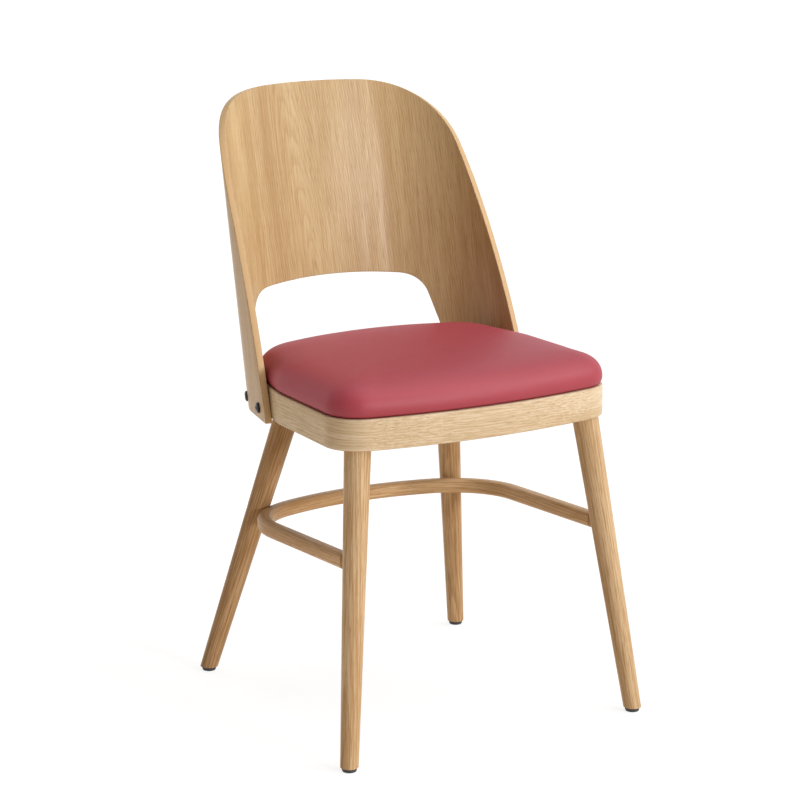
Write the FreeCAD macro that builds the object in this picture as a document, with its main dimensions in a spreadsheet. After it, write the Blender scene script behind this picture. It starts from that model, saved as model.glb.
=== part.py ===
import FreeCAD, Part

import math
import os

import Sketcher

# A dining side chair: four turned and splayed legs under a flat timber seat frame, a U-shaped
# stretcher, a bent plywood back that wraps round the seat, and a thick upholstered pad.
# X runs across the chair, Y from the front to the back, Z up, in millimetres, with the origin on
# the floor under the middle of the chair. Left and right are as seen from the front.

Vector = FreeCAD.Vector
Placement = FreeCAD.Placement
Rotation = FreeCAD.Rotation

X_AXIS = Vector(1, 0, 0)
Y_AXIS = Vector(0, 1, 0)
Z_AXIS = Vector(0, 0, 1)
SIDES = (("left", -1), ("right", 1))
ENDS = ("front", "rear")

# Points closer than this are one point.
NEAR = 0.01
# Middle of a quarter round, measured from its square corner along each side, for a radius of 1.
ROUND_MIDDLE = 1 - math.sqrt(0.5)

# Driving dimensions: alias, value in millimetres or degrees, what it is.
SIZES = [
    ("frame_bottom", 394.5, "underside of the seat frame above the floor"),
    ("frame_height", 40.0, "height of the rails"),
    ("seat_front", -223.25, "middle of the frame's front edge"),
    ("seat_depth", 350.5, "frame from its front to its rear edge"),
    ("seat_width", 402.4, "frame across the front corners"),
    ("bow_radius", 858.0, "bowed front edge"),
    ("corner_radius", 47.0, "front corners of the frame"),
    ("side_taper", 1.6, "angle of the sides behind the front corners"),
    ("side_bend", 193.0, "front of the frame to the bend of its sides"),
    ("rear_radius", 400.0, "curved rear edge"),
    ("rear_corner_radius", 39.0, "rear corners of the frame"),
    ("rail_width", 26.0, "side rails"),
    ("front_rail_width", 38.0, "front rail at its middle"),
    ("corner_width", 60.0, "front rail along its joint with a side rail"),
    ("rear_joint", 79.0, "rear edge of the frame forward to the rear joint of a side rail"),
    ("edge_round", 2.0, "rounding of the frame's outer edges"),
    ("fit_gap", 0.1, "clearance round pins, screws and tenons"),
    ("dowel_radius", 4.0, "dowels of the rail joints"),
    ("dowel_end_bite", 21.0, "dowel in the front or rear rail"),
    ("dowel_side_bite", 15.0, "dowel in the side rail"),
    ("dowel_edge", 12.0, "dowel axis from the rail's upper or lower edge"),
    ("block_lift", 8.0, "corner block above the underside of the frame"),
    ("block_side", 45.0, "front corner block along the side rail"),
    ("block_rear_side", 55.0, "rear corner block along each rail"),
    ("block_nose", 6.0, "blunt ends of the corner blocks"),
    ("block_screw_place", 19.0, "block screw from the inner corner of the rails"),
    ("block_screw_stagger", 6.0, "block screws above and below the middle of the block"),
    ("block_screw_bite", 11.0, "wood between a block screw's head and the rail"),
    ("block_screw_length", 24.0, "block screw under its head"),
    ("seat_screw_place", 8.0, "seat screw from the inner faces of the rails"),
    ("seat_screw_bite", 6.5, "seat screw in the seat board"),
    ("screw_radius", 1.8, "wood screws"),
    ("screw_head_radius", 3.6, "heads of the wood screws"),
    ("screw_head_height", 2.4, "heads of the wood screws"),
    ("screw_head_flat", 2.5, "radius of the flat top of a wood screw's head"),
    ("screw_head_rim", 1.0, "straight rim of a wood screw's head"),
    ("screw_tip_radius", 0.5, "blunt tips of the wood screws"),
    ("front_leg_side", 33.1, "front leg axis in from the side of the frame"),
    ("front_leg_setback", 38.5, "front leg axis behind the front of the frame"),
    ("front_splay_side", 45.6, "front foot outward of its top"),
    ("front_splay_front", 57.3, "front foot forward of its top"),
    ("rear_leg_spacing", 240.0, "between the rear legs' axes under the frame"),
    ("rear_leg_setback", 46.8, "rear leg axis ahead of the frame's rear edge"),
    ("rear_splay_side", 79.9, "rear foot outward of its top"),
    ("rear_splay_back", 104.0, "rear foot behind its top"),
    ("leg_foot_radius", 11.35, "thin end of the turned leg"),
    ("leg_top_radius", 17.15, "thick end of the turned leg"),
    ("leg_spare", 12.0, "turned length that is cut off level at each end of a leg"),
    ("tenon_radius", 10.0, "round tenon at the top of a leg"),
    ("tenon_length", 27.0, "round tenon along the leg's axis"),
    ("glide_radius", 9.5, "foot glides"),
    ("glide_height", 6.0, "foot glides"),
    ("glide_edge", 2.5, "rounding of a glide's lower edge"),
    ("nail_radius", 1.2, "glide nails"),
    ("nail_head_radius", 2.8, "heads of the glide nails"),
    ("nail_head_height", 1.2, "heads of the glide nails"),
    ("nail_recess", 2.6, "depth of a nail's head and its recess in the glide"),
    ("nail_length", 18.0, "glide nail above the head"),
    ("stretcher_size", 19.6, "square section of the stretcher"),
    ("stretcher_edge", 6.8, "rounding of the stretcher's long edges"),
    ("stretcher_height", 242.1, "stretcher's axis above the floor under the chair's middle"),
    ("stretcher_tilt", 3.03, "fall of the stretcher towards the back"),
    ("stretcher_rear_radius", 342.0, "rear curve of the stretcher's axis"),
    ("stretcher_bend_radius", 106.8, "bends of the stretcher's axis"),
    ("stretcher_end_gap", 1.0, "stretcher's flat end to the round leg at the axis"),
    ("stretcher_leg_gap", 0.2, "stretcher to the rear legs"),
    ("stretcher_chamfer", 4.5, "chamfered ends of the stretcher"),
    ("stretcher_tenon_radius", 5.0, "tenon in a front leg"),
    ("stretcher_tenon_length", 17.0, "tenon in a front leg"),
    ("stretcher_screw_bite", 13.0, "stretcher screw in the stretcher"),
    ("back_setback", 29.8, "frame's rear edge to the back's inner face at the frame's underside"),
    ("back_tilt", 12.337, "lean of the back"),
    ("back_thickness", 9.0, "plywood of the back"),
    ("back_radius", 471.1, "hollow of the back, inner face"),
    ("back_angle", 6.5, "turn of the hollow from the middle"),
    ("shoulder_radius", 109.8, "bends into the wings, inner face"),
    ("wing_angle", 78.25, "turn of the wings from the middle"),
    ("back_height", 408.7, "top edge along the back above the frame's underside"),
    ("cut_angle", 39.0, "direction that the two edges are sawn along, from straight back"),
    ("top_radius", 640.0, "crown of the top edge"),
    ("top_turn", 5.18, "turn of the top edge's crown"),
    ("top_corner_radius", 145.8, "upper corners of the back"),
    ("top_corner_turn", 72.8, "turn of the top edge after the upper corners"),
    ("wing_edge_radius", 1541.6, "front edges of the wings"),
    ("opening_height", 143.95, "top of the opening along the back above the frame's underside"),
    ("opening_radius", 443.5, "crown of the opening"),
    ("opening_turn", 11.18, "turn of the opening's crown"),
    ("opening_corner_radius", 44.6, "upper corners of the opening"),
    ("opening_side_turn", 74.8, "turn of the opening's straight sides"),
    ("wing_drop", 5.5, "wings below the frame's underside"),
    ("wing_corner_radius", 3.0, "lower front corners of the wings"),
    ("back_edge_round", 1.0, "rounding of the back's edges"),
    ("back_gap", 0.3, "back to the side rails"),
    ("bolt_rise", 9.5, "bolts above the frame's underside"),
    ("front_bolt_run", 22.0, "front bolts along the wing ahead of the frame's rear joint"),
    ("rear_bolt_run", 41.8, "rear bolts along the inner face behind the frame's rear joint"),
    ("bolt_head_radius", 7.0, "bolt heads"),
    ("bolt_head_height", 3.4, "bolt heads"),
    ("bolt_head_edge", 1.4, "rounding of the bolt heads"),
    ("bolt_radius", 3.0, "bolts"),
    ("bolt_length", 30.0, "bolts under the head"),
    ("socket_width", 5.0, "hexagon socket across its flats"),
    ("socket_depth", 2.2, "hexagon socket"),
    ("insert_radius", 5.0, "threaded inserts"),
    ("insert_length", 15.0, "threaded inserts"),
    ("insert_depth", 5.0, "inserts from the back's inner face"),
    ("cover_skin", 1.2, "leatherette"),
    ("hem_width", 52.0, "cover turned in under the pad"),
    ("cloth_thickness", 0.8, "cloth under the pad"),
    ("board_thickness", 9.0, "seat board"),
    ("board_inset", 9.0, "seat board in from the frame's outline"),
    ("pad_rear_corner", 75.0, "rear corners of the pad"),
    ("pad_foot_inset", 6.0, "pad drawn in where it meets the frame"),
    ("pad_belly_rise", 11.0, "pad's widest line above the frame"),
    ("pad_edge_rise", 30.2, "rounded edge of the pad above its widest line"),
    ("pad_edge_inset", 36.0, "rounded edge of the pad inward of its widest line"),
    ("pad_crown_rise", 4.0, "crown of the pad above its rounded edge"),
    ("staple_inset", 48.0, "line of staples in from the frame's outline"),
    ("staple_step", 40.0, "distance between staples"),
    ("staple_crown", 10.0, "width of a staple"),
    ("staple_wire", 0.9, "thickness of a staple"),
    ("staple_bite", 6.0, "staple in the hem and the board"),
]

doc = FreeCAD.newDocument("side_chair")
sheet = doc.addObject("Spreadsheet::Sheet", "Sizes")
for row, (alias, value, note) in enumerate(SIZES, start=1):
    sheet.set("A%d" % row, note)
    sheet.set("B%d" % row, str(value))
    sheet.setAlias("B%d" % row, alias)
doc.recompute()


def size(alias):
    """Value of one driving dimension."""
    return float(sheet.get(alias))


def angle(alias):
    """Driving angle in radians."""
    return math.radians(size(alias))


def bind(item, prop, formula):
    """Bind a property of a document object to the sheet."""
    item.setExpression(prop, formula)


# Plane geometry. A segment is a list of two points (a line) or three (an arc), with the alias of
# the arc's radius where it is a driving dimension.

def line(first, last):
    """Straight segment."""
    return ([first, last], "")


def arc(centre, radius, start, end, alias=""):
    """Arc segment between two angles in radians."""
    turns = (start, (start + end) / 2, end)
    points = [(centre[0] + radius * math.cos(a), centre[1] + radius * math.sin(a)) for a in turns]
    return (points, alias)


def polygon(points):
    """Closed run of straight segments."""
    return [line(points[i - 1], points[i]) for i in range(len(points))]


def mirrored(segments):
    """Segments mirrored across the chair's middle plane, in the same running direction."""
    return [([(-x, y) for x, y in reversed(points)], alias) for points, alias in reversed(segments)]


def sided(segments, side):
    """Segments of the right half for side 1, or their mirror image for side -1."""
    return segments if side > 0 else mirrored(segments)


def along(point, direction, distance):
    """Point moved along a plane direction."""
    return (point[0] + direction[0] * distance, point[1] + direction[1] * distance)


def crossing(normal_a, reach_a, normal_b, reach_b):
    """Where two lines, each given by its normal and its distance from the origin, cross."""
    det = normal_a[0] * normal_b[1] - normal_a[1] * normal_b[0]
    x = (reach_a * normal_b[1] - reach_b * normal_a[1]) / det
    y = (normal_a[0] * reach_b - normal_b[0] * reach_a) / det
    return (x, y)


def line_and_circle(normal, reach, centre_y, radius, end):
    """Where a line meets a circle about (0, centre_y): its rear end for end 1, front for -1."""
    run = (-normal[1], normal[0])
    foot = (normal[0] * reach, normal[1] * reach - centre_y)
    half = foot[0] * run[0] + foot[1] * run[1]
    rest = foot[0] ** 2 + foot[1] ** 2 - radius ** 2
    step = -half + end * math.sqrt(half ** 2 - rest)
    return (foot[0] + run[0] * step, foot[1] + centre_y + run[1] * step)


def bearing(centre, point):
    """Angle of a point seen from a centre."""
    return math.atan2(point[1] - centre[1], point[0] - centre[0])


def turning_path(start, turns):
    """Arcs that start level and turn down to the right: (radius, whole turn, alias) each."""
    segments = []
    turn = 0.0
    point = start
    for radius, whole_turn, alias in turns:
        centre = (point[0] - radius * math.sin(turn), point[1] - radius * math.cos(turn))
        segments.append(arc(centre, radius, math.pi / 2 - turn, math.pi / 2 - whole_turn, alias))
        turn = whole_turn
        point = segments[-1][0][2]
    return segments


# Document helpers.

PIECES = []


def keep(item, label):
    """Take a document object as the finished sub-part of that name."""
    item.Label = label
    PIECES.append(item)
    return item


def draw(sketch, segments):
    """Fill a sketch with segments, bind the named radii and join the ends."""
    for points, alias in segments:
        corners = [Vector(x, y, 0) for x, y in points]
        curve = Part.LineSegment(*corners) if len(corners) == 2 else Part.Arc(*corners)
        index = sketch.addGeometry(curve, False)
        if alias:
            radius = sketch.Geometry[index].Radius
            number = sketch.addConstraint(Sketcher.Constraint("Radius", index, radius))
            label = "%s_%d" % (alias, index)
            sketch.renameConstraint(number, label)
            bind(sketch, "Constraints." + label, "<<Sizes>>." + alias)
    sketch.detectMissingPointOnPointConstraints(NEAR)
    sketch.makeMissingPointOnPointCoincident()


def add_sketch(body, name, plane, segments, offset=None):
    """Sketch on an origin plane of its body."""
    sketch = body.newObject("Sketcher::SketchObject", name)
    support = [item for item in body.Origin.OriginFeatures if item.Role == plane][0]
    sketch.AttachmentSupport = [(support, "")]
    sketch.MapMode = "FlatFace"
    if offset:
        sketch.AttachmentOffset = offset
    draw(sketch, segments)
    return sketch


def add_pad(body, name, sketch, formula):
    """Pad of a sketch to a bound height."""
    pad = body.newObject("PartDesign::Pad", name)
    pad.Profile = sketch
    bind(pad, "Length", formula)
    return pad


def prism(name, segments, bottom, height):
    """Body of a plan outline, standing between bound heights."""
    body = doc.addObject("PartDesign::Body", name)
    sketch = add_sketch(body, name + "_plan", "XY_Plane", segments)
    add_pad(body, name + "_pad", sketch, height)
    bind(body, "Placement.Base.z", bottom)
    doc.recompute()
    return body


def round_edges(body, name, names, formula):
    """Fillet of some edges of a body, with a bound radius."""
    base = body.Tip
    fillet = body.newObject("PartDesign::Fillet", name)
    fillet.Base = (base, names)
    bind(fillet, "Radius", formula)
    doc.recompute()
    return fillet


def turned(name, profile, bound):
    """Body of revolution about Z from (radius, height) corners, some radii bound to the sheet."""
    body = doc.addObject("PartDesign::Body", name)
    sketch = add_sketch(body, name + "_profile", "XZ_Plane", polygon(profile))
    for corner, alias in bound.items():
        radius = profile[corner - 1][0]
        number = sketch.addConstraint(Sketcher.Constraint("DistanceX", -1, 1, corner, 1, radius))
        sketch.renameConstraint(number, alias)
        bind(sketch, "Constraints." + alias, "<<Sizes>>." + alias)
    turn = body.newObject("PartDesign::Revolution", name + "_turn")
    turn.Profile = sketch
    turn.ReferenceAxis = (sketch, ["V_Axis"])
    turn.Angle = 360.0
    doc.recompute()
    return body


def bar(name, start, direction, length, radius_formula):
    """Cylinder from a point along a direction."""
    cylinder = doc.addObject("Part::Cylinder", name)
    bind(cylinder, "Radius", radius_formula)
    cylinder.Height = length
    cylinder.Placement = Placement(start, Rotation(Z_AXIS, direction))
    return cylinder


def cut_away(name, base, tool):
    """Base with the tool's space taken out."""
    cut = doc.addObject("Part::Cut", name)
    cut.Base = base
    cut.Tool = tool
    return cut


def drilled(item, name, tools):
    """A sub-part with bores cut out of it."""
    bores = doc.addObject("Part::Compound", name + "_bores")
    bores.Links = tools
    cut = doc.addObject("Part::Cut", name)
    cut.Base = item
    cut.Tool = bores
    doc.recompute()
    return keep(cut, name)


def group(name, master, places):
    """One node of separate like solids, copied from a master to each place."""
    feature = doc.addObject("Part::Feature", name)
    copies = []
    for place in places:
        copy = master.Shape.copy()
        copy.Placement = place.multiply(master.Shape.Placement)
        copies.append(copy)
    feature.Shape = Part.makeCompound(copies)
    return keep(feature, name)


def facing(point, direction):
    """Place at a point with its Z along a direction."""
    return Placement(point, Rotation(Z_AXIS, direction))


def flipped(point, side):
    """Point or direction of the right half, mirrored for side -1."""
    return Vector(point.x * side, point.y, point.z)


# Sides of the seat frame: straight behind the front corners, then bent to lie along the wings.

FRAME_BOTTOM = size("frame_bottom")
FRAME_TOP = FRAME_BOTTOM + size("frame_height")
SEAT_FRONT = size("seat_front")
SEAT_REAR = SEAT_FRONT + size("seat_depth")
BACK_TILT = angle("back_tilt")
BACK_PLACE = Placement(
    Vector(0, SEAT_REAR + size("back_setback"), FRAME_BOTTOM),
    Rotation(X_AXIS, -size("back_tilt")),
)
BOW_Y = SEAT_FRONT + size("bow_radius")
REAR_Y = SEAT_REAR - size("rear_radius")
SIDE_NORMAL = (math.cos(angle("side_taper")), math.sin(angle("side_taper")))
SIDE_RUN = (-SIDE_NORMAL[1], SIDE_NORMAL[0])
CORNER_X = size("seat_width") / 2 - size("corner_radius")
CORNER_Y = BOW_Y - math.sqrt((size("bow_radius") - size("corner_radius")) ** 2 - CORNER_X ** 2)
SIDE_REACH = SIDE_NORMAL[0] * CORNER_X + SIDE_NORMAL[1] * CORNER_Y + size("corner_radius")
SIDE_BEND = crossing(SIDE_NORMAL, SIDE_REACH, (0, 1), SEAT_FRONT + size("side_bend"))
WING_LINE = (math.sin(angle("wing_angle")), math.cos(angle("wing_angle")))
WING_FLAT = math.hypot(WING_LINE[0], WING_LINE[1] * math.cos(BACK_TILT))
FLANK_NORMAL = (WING_LINE[0] / WING_FLAT, WING_LINE[1] * math.cos(BACK_TILT) / WING_FLAT)
FLANK_RUN = (-FLANK_NORMAL[1], FLANK_NORMAL[0])
FLANK_REACH = FLANK_NORMAL[0] * SIDE_BEND[0] + FLANK_NORMAL[1] * SIDE_BEND[1]

# Bent back: its section lies square to the lean, with the run measured along the inner face. It
# has a hollow, a straight cheek, a shoulder and a flat wing. The cheek is as long as it takes for
# the wing to lie along the side of the frame.

HOLLOW_LINE = (math.sin(angle("back_angle")), math.cos(angle("back_angle")))
HOLLOW_CENTRE = (0.0, -size("back_radius"))
NEAR_SHOULDER = along(HOLLOW_CENTRE, HOLLOW_LINE, size("back_radius") - size("shoulder_radius"))
NEAR_WING = along(NEAR_SHOULDER, WING_LINE, size("shoulder_radius"))
NEAR_WING_Y = BACK_PLACE.Base.y + NEAR_WING[1] / math.cos(BACK_TILT)
NEAR_REACH = FLANK_NORMAL[0] * NEAR_WING[0] + FLANK_NORMAL[1] * NEAR_WING_Y
CHEEK = ((FLANK_REACH + size("back_gap") - NEAR_REACH)
         / (FLANK_NORMAL[0] * HOLLOW_LINE[1]
            - FLANK_NORMAL[1] * HOLLOW_LINE[0] / math.cos(BACK_TILT)))
CHEEK_RUN = (HOLLOW_LINE[1], -HOLLOW_LINE[0])
SHOULDER_CENTRE = along(NEAR_SHOULDER, CHEEK_RUN, CHEEK)
HOLLOW_END = size("back_radius") * angle("back_angle")
CHEEK_END = HOLLOW_END + CHEEK
SHOULDER_END = CHEEK_END + size("shoulder_radius") * (angle("wing_angle") - angle("back_angle"))


def back_turn(run):
    """Turn of the back's face at a run from the middle."""
    if run < HOLLOW_END:
        return run / size("back_radius")
    if run < CHEEK_END:
        return angle("back_angle")
    if run < SHOULDER_END:
        return angle("back_angle") + (run - CHEEK_END) / size("shoulder_radius")
    return angle("wing_angle")


def back_point(run, outward=0.0):
    """Plane point of the back's section, a distance outward of the inner face."""
    turn = back_turn(run)
    normal = (math.sin(turn), math.cos(turn))
    if run < CHEEK_END:
        point = along(HOLLOW_CENTRE, normal, size("back_radius") + outward)
        return along(point, CHEEK_RUN, max(run - HOLLOW_END, 0.0))
    point = along(SHOULDER_CENTRE, normal, size("shoulder_radius") + outward)
    flank = max(run - SHOULDER_END, 0.0)
    return along(point, (math.cos(turn), -math.sin(turn)), flank)


def back_normal(run):
    """Outward direction of the back's face at a run, in the chair's frame."""
    turn = back_turn(run)
    return BACK_PLACE.Rotation.multVec(Vector(math.sin(turn), math.cos(turn), 0))


def back_height(y, level):
    """Height up the lean of the back, from the frame's underside, of a level above the floor."""
    return (level - FRAME_BOTTOM + y * math.sin(BACK_TILT)) / math.cos(BACK_TILT)


def back_at_level(run, outward, level):
    """Point of the back's face at a run and a level above the floor."""
    x, y = back_point(run, outward)
    return BACK_PLACE.multVec(Vector(x, y, back_height(y, level)))


# Seat frame plan: a bowed front, rounded front corners, sides that bend to lie along the wings,
# rounded rear corners and a curved rear edge.

# Least radius of a corner that is drawn in.
MIN_CORNER = 4.0


def plan(inset, rear_corner):
    """Corner centres, radii and the side's bend of the frame's outline moved in by an inset."""
    front_radius = max(size("corner_radius") - inset, MIN_CORNER)
    rear_radius = max(rear_corner - inset, MIN_CORNER)
    front = line_and_circle(
        SIDE_NORMAL, SIDE_REACH - inset - front_radius,
        BOW_Y, size("bow_radius") - inset - front_radius, -1,
    )
    rear = line_and_circle(
        FLANK_NORMAL, FLANK_REACH - inset - rear_radius,
        REAR_Y, size("rear_radius") - inset - rear_radius, 1,
    )
    bend = crossing(SIDE_NORMAL, SIDE_REACH - inset, FLANK_NORMAL, FLANK_REACH - inset)
    return front, front_radius, rear, rear_radius, bend


def outline(inset, rear_corner, scale=1.0):
    """Closed outline of the seat moved in by an inset, drawn smaller about its middle by a scale."""
    front, front_radius, rear, rear_radius, bend = plan(inset, rear_corner)
    bow_turn = bearing((0, BOW_Y), front)
    rear_turn = bearing((0, REAR_Y), rear)
    corner = arc(front, front_radius, bow_turn, angle("side_taper"))
    tail = arc(rear, rear_radius, math.atan2(FLANK_NORMAL[1], FLANK_NORMAL[0]), rear_turn)
    right = [corner, line(corner[0][2], bend), line(bend, tail[0][0]), tail]
    back = arc((0, REAR_Y), size("rear_radius") - inset, rear_turn, math.pi - rear_turn)
    bow = arc((0, BOW_Y), size("bow_radius") - inset, -math.pi - bow_turn, bow_turn)
    middle = (SEAT_FRONT + SEAT_REAR) / 2
    return [
        ([(x * scale, middle + (y - middle) * scale) for x, y in points], "")
        for points, _ in right + [back] + mirrored(right) + [bow]
    ]


FRONT_CENTRE, _, REAR_CENTRE, _, _ = plan(0.0, size("rear_corner_radius"))
BOW_TURN = bearing((0, BOW_Y), FRONT_CENTRE)
REAR_TURN = bearing((0, REAR_Y), REAR_CENTRE)
FRONT_CORNER = arc(
    FRONT_CENTRE, size("corner_radius"), BOW_TURN, angle("side_taper"), "corner_radius"
)
REAR_CORNER = arc(
    REAR_CENTRE, size("rear_corner_radius"), math.atan2(FLANK_NORMAL[1], FLANK_NORMAL[0]),
    REAR_TURN, "rear_corner_radius",
)
BOW = arc((0, BOW_Y), size("bow_radius"), -math.pi - BOW_TURN, BOW_TURN, "bow_radius")
REAR_EDGE = arc((0, REAR_Y), size("rear_radius"), REAR_TURN, math.pi - REAR_TURN, "rear_radius")

# Joints of the frame, at its right side: outer and inner ends of the front and rear joint faces.
FRONT_JOINT = FRONT_CORNER[0][2]
FRONT_JOINT_INNER = along(FRONT_JOINT, SIDE_NORMAL, -size("rail_width"))
JOINT_Y = SEAT_REAR - size("rear_joint")
REAR_JOINT = crossing(FLANK_NORMAL, FLANK_REACH, (0, 1), JOINT_Y)
REAR_JOINT_INNER = along(REAR_JOINT, FLANK_NORMAL, -size("rail_width"))
INNER_BEND = crossing(
    SIDE_NORMAL, SIDE_REACH - size("rail_width"), FLANK_NORMAL, FLANK_REACH - size("rail_width")
)
REAR_INNER_RADIUS = math.hypot(REAR_JOINT_INNER[0], REAR_JOINT_INNER[1] - REAR_Y)
REAR_INNER_TURN = bearing((0, REAR_Y), REAR_JOINT_INNER)


def outer_edges(body, segments):
    """Names of a prism's upper and lower edges along some outline segments."""
    marks = []
    for points, _ in segments:
        if len(points) == 3:
            marks.append(points[1])
        else:
            marks.append(tuple((a + b) / 2 for a, b in zip(*points)))
    names = []
    for index, edge in enumerate(body.Shape.Edges, start=1):
        middle = edge.valueAt((edge.FirstParameter + edge.LastParameter) / 2)
        level = abs(edge.tangentAt(edge.FirstParameter).z) < NEAR
        if level and any(math.hypot(middle.x - x, middle.y - y) < NEAR for x, y in marks):
            names.append("Edge%d" % index)
    return names


def rail(name, segments, outside):
    """Rail of the seat frame with its outer edges rounded."""
    body = prism(name + "_blank", segments, "<<Sizes>>.frame_bottom", "<<Sizes>>.frame_height")
    names = outer_edges(body, outside)
    round_edges(body, name + "_round", names, "<<Sizes>>.edge_round")
    return body


def front_rail():
    """Front rail, with the rounded corners worked on it."""
    wide = along(FRONT_JOINT, SIDE_NORMAL, -size("corner_width"))
    inner_y = SEAT_FRONT + size("front_rail_width")
    narrow = (wide[0] - (wide[1] - inner_y), inner_y)
    right = [FRONT_CORNER, line(FRONT_JOINT, wide), line(wide, narrow)]
    inner = line(narrow, (-narrow[0], narrow[1]))
    return rail("front_rail", [BOW] + right + [inner] + mirrored(right), [BOW, FRONT_CORNER]
                + mirrored([FRONT_CORNER]))


def side_rail(name, side):
    """Side rail, bent in plan where the wing of the back starts to close in."""
    outside = [line(FRONT_JOINT, SIDE_BEND), line(SIDE_BEND, REAR_JOINT)]
    inside = [
        line(REAR_JOINT, REAR_JOINT_INNER),
        line(REAR_JOINT_INNER, INNER_BEND),
        line(INNER_BEND, FRONT_JOINT_INNER),
        line(FRONT_JOINT_INNER, FRONT_JOINT),
    ]
    return rail(name, sided(outside + inside, side), sided(outside, side))


def rear_rail():
    """Rear rail, with both edges curved."""
    flank = line(REAR_JOINT, REAR_CORNER[0][0])
    end = line(REAR_JOINT_INNER, REAR_JOINT)
    right = [end, flank, REAR_CORNER]
    inner = arc((0, REAR_Y), REAR_INNER_RADIUS, math.pi - REAR_INNER_TURN, REAR_INNER_TURN)
    outside = [flank, REAR_CORNER, REAR_EDGE]
    return rail("rear_rail", right + [REAR_EDGE] + mirrored(right) + [inner],
                outside + mirrored(outside[:2]))


# Legs: an axis from the middle of the foot on the floor to the underside of the frame.

def leg_axis(end, side):
    """Foot on the floor and top under the frame, on the leg's axis."""
    if end == "front":
        top = Vector(size("seat_width") / 2 - size("front_leg_side"),
                     SEAT_FRONT + size("front_leg_setback"), FRAME_BOTTOM)
        foot = Vector(top.x + size("front_splay_side"), top.y - size("front_splay_front"), 0)
    else:
        top = Vector(size("rear_leg_spacing") / 2,
                     SEAT_REAR - size("rear_leg_setback"), FRAME_BOTTOM)
        foot = Vector(top.x + size("rear_splay_side"), top.y + size("rear_splay_back"), 0)
    return flipped(foot, side), flipped(top, side)


LEG_LENGTH = {
    "front": "sqrt(<<Sizes>>.front_splay_side ^ 2 + <<Sizes>>.front_splay_front ^ 2"
             " + <<Sizes>>.frame_bottom ^ 2) + 2 * <<Sizes>>.leg_spare",
    "rear": "sqrt(<<Sizes>>.rear_splay_side ^ 2 + <<Sizes>>.rear_splay_back ^ 2"
            " + <<Sizes>>.frame_bottom ^ 2) + 2 * <<Sizes>>.leg_spare",
}


def on_leg(end, side, level):
    """Point of a leg's axis at a level above the floor."""
    foot, top = leg_axis(end, side)
    return foot + (top - foot) * (level / FRAME_BOTTOM)


def leg_radius(end, level):
    """Radius of a leg, square to its axis, where the axis passes a level."""
    foot, top = leg_axis(end, 1)
    length = (top - foot).Length
    share = (length * level / FRAME_BOTTOM + size("leg_spare")) / (length + 2 * size("leg_spare"))
    return size("leg_foot_radius") + (size("leg_top_radius") - size("leg_foot_radius")) * share


def leg_blank(name, end, side):
    """Tapered leg, cut level under the frame and over its glide, with a round tenon on top."""
    foot, top = leg_axis(end, side)
    axis = (top - foot).normalize()
    cone = doc.addObject("Part::Cone", name + "_cone")
    bind(cone, "Radius1", "<<Sizes>>.leg_foot_radius")
    bind(cone, "Radius2", "<<Sizes>>.leg_top_radius")
    bind(cone, "Height", LEG_LENGTH[end])
    cone.Placement = facing(foot - axis * size("leg_spare"), axis)
    room = doc.addObject("Part::Box", name + "_room")
    bind(room, "Length", "2 * <<Sizes>>.seat_width")
    bind(room, "Width", "2 * <<Sizes>>.seat_width")
    bind(room, "Height", "<<Sizes>>.frame_bottom - <<Sizes>>.glide_height")
    room.Placement.Base = Vector(top.x - size("seat_width"), top.y - size("seat_width"),
                                 size("glide_height"))
    shaft = doc.addObject("Part::Common", name + "_shaft")
    shaft.Base = cone
    shaft.Tool = room
    tenon = bar(name + "_tenon", top - axis * size("leg_spare"), axis,
                size("tenon_length") + size("leg_spare"), "<<Sizes>>.tenon_radius")
    blank = doc.addObject("Part::Fuse", name + "_blank")
    blank.Base = shaft
    blank.Tool = tenon
    return blank


def tenon_bore(end, side):
    """Bore of a rail for a leg's tenon."""
    foot, top = leg_axis(end, side)
    axis = (top - foot).normalize()
    return bar("leg_bore", top - axis * size("leg_spare"), axis,
               size("tenon_length") + size("leg_spare") + size("fit_gap"),
               "<<Sizes>>.tenon_radius + <<Sizes>>.fit_gap")


# Stretcher: a U in a plane that falls a little towards the back, in that plane's own coordinates.

STRETCHER_PLACE = Placement(
    Vector(0, 0, size("stretcher_height")), Rotation(X_AXIS, -size("stretcher_tilt"))
)


def where_leg_crosses(end):
    """Where a right leg's axis crosses the stretcher's plane, in the chair's frame."""
    foot, top = leg_axis(end, 1)
    step = (top - foot) * (1 / FRAME_BOTTOM)
    slope = math.tan(angle("stretcher_tilt"))
    level = (size("stretcher_height") - slope * foot.y) / (1 + slope * step.y)
    return foot + step * level


def to_stretcher(point):
    """Plane coordinates of a point in the stretcher's plane."""
    local = STRETCHER_PLACE.inverse().multVec(point)
    return (local.x, local.y)


FRONT_CROSSING = where_leg_crosses("front")
REAR_CROSSING = where_leg_crosses("rear")
RUN_X, RUN_END = to_stretcher(FRONT_CROSSING)
RUN_END += leg_radius("front", FRONT_CROSSING.z) + size("stretcher_end_gap")
BEND_X = RUN_X - size("stretcher_bend_radius")
REAR_FOOT, REAR_TOP = leg_axis("rear", 1)
LEG_LEAN = (REAR_TOP - REAR_FOOT).getAngle(STRETCHER_PLACE.Rotation.multVec(Z_AXIS))
LEG_HALF = leg_radius("rear", REAR_CROSSING.z) / math.cos(LEG_LEAN)
STRETCHER_FLAT = size("stretcher_size") / 2 - size("stretcher_edge")
STRETCHER_HALF = (STRETCHER_FLAT * (math.sin(LEG_LEAN) + math.cos(LEG_LEAN))
                  + size("stretcher_edge") + size("stretcher_leg_gap")) / math.cos(LEG_LEAN)
BEND_REACH = size("stretcher_bend_radius") + STRETCHER_HALF + LEG_HALF
LEG_X, LEG_Y = to_stretcher(REAR_CROSSING)
BEND_Y = LEG_Y - math.sqrt(BEND_REACH ** 2 - (LEG_X - BEND_X) ** 2)
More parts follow.
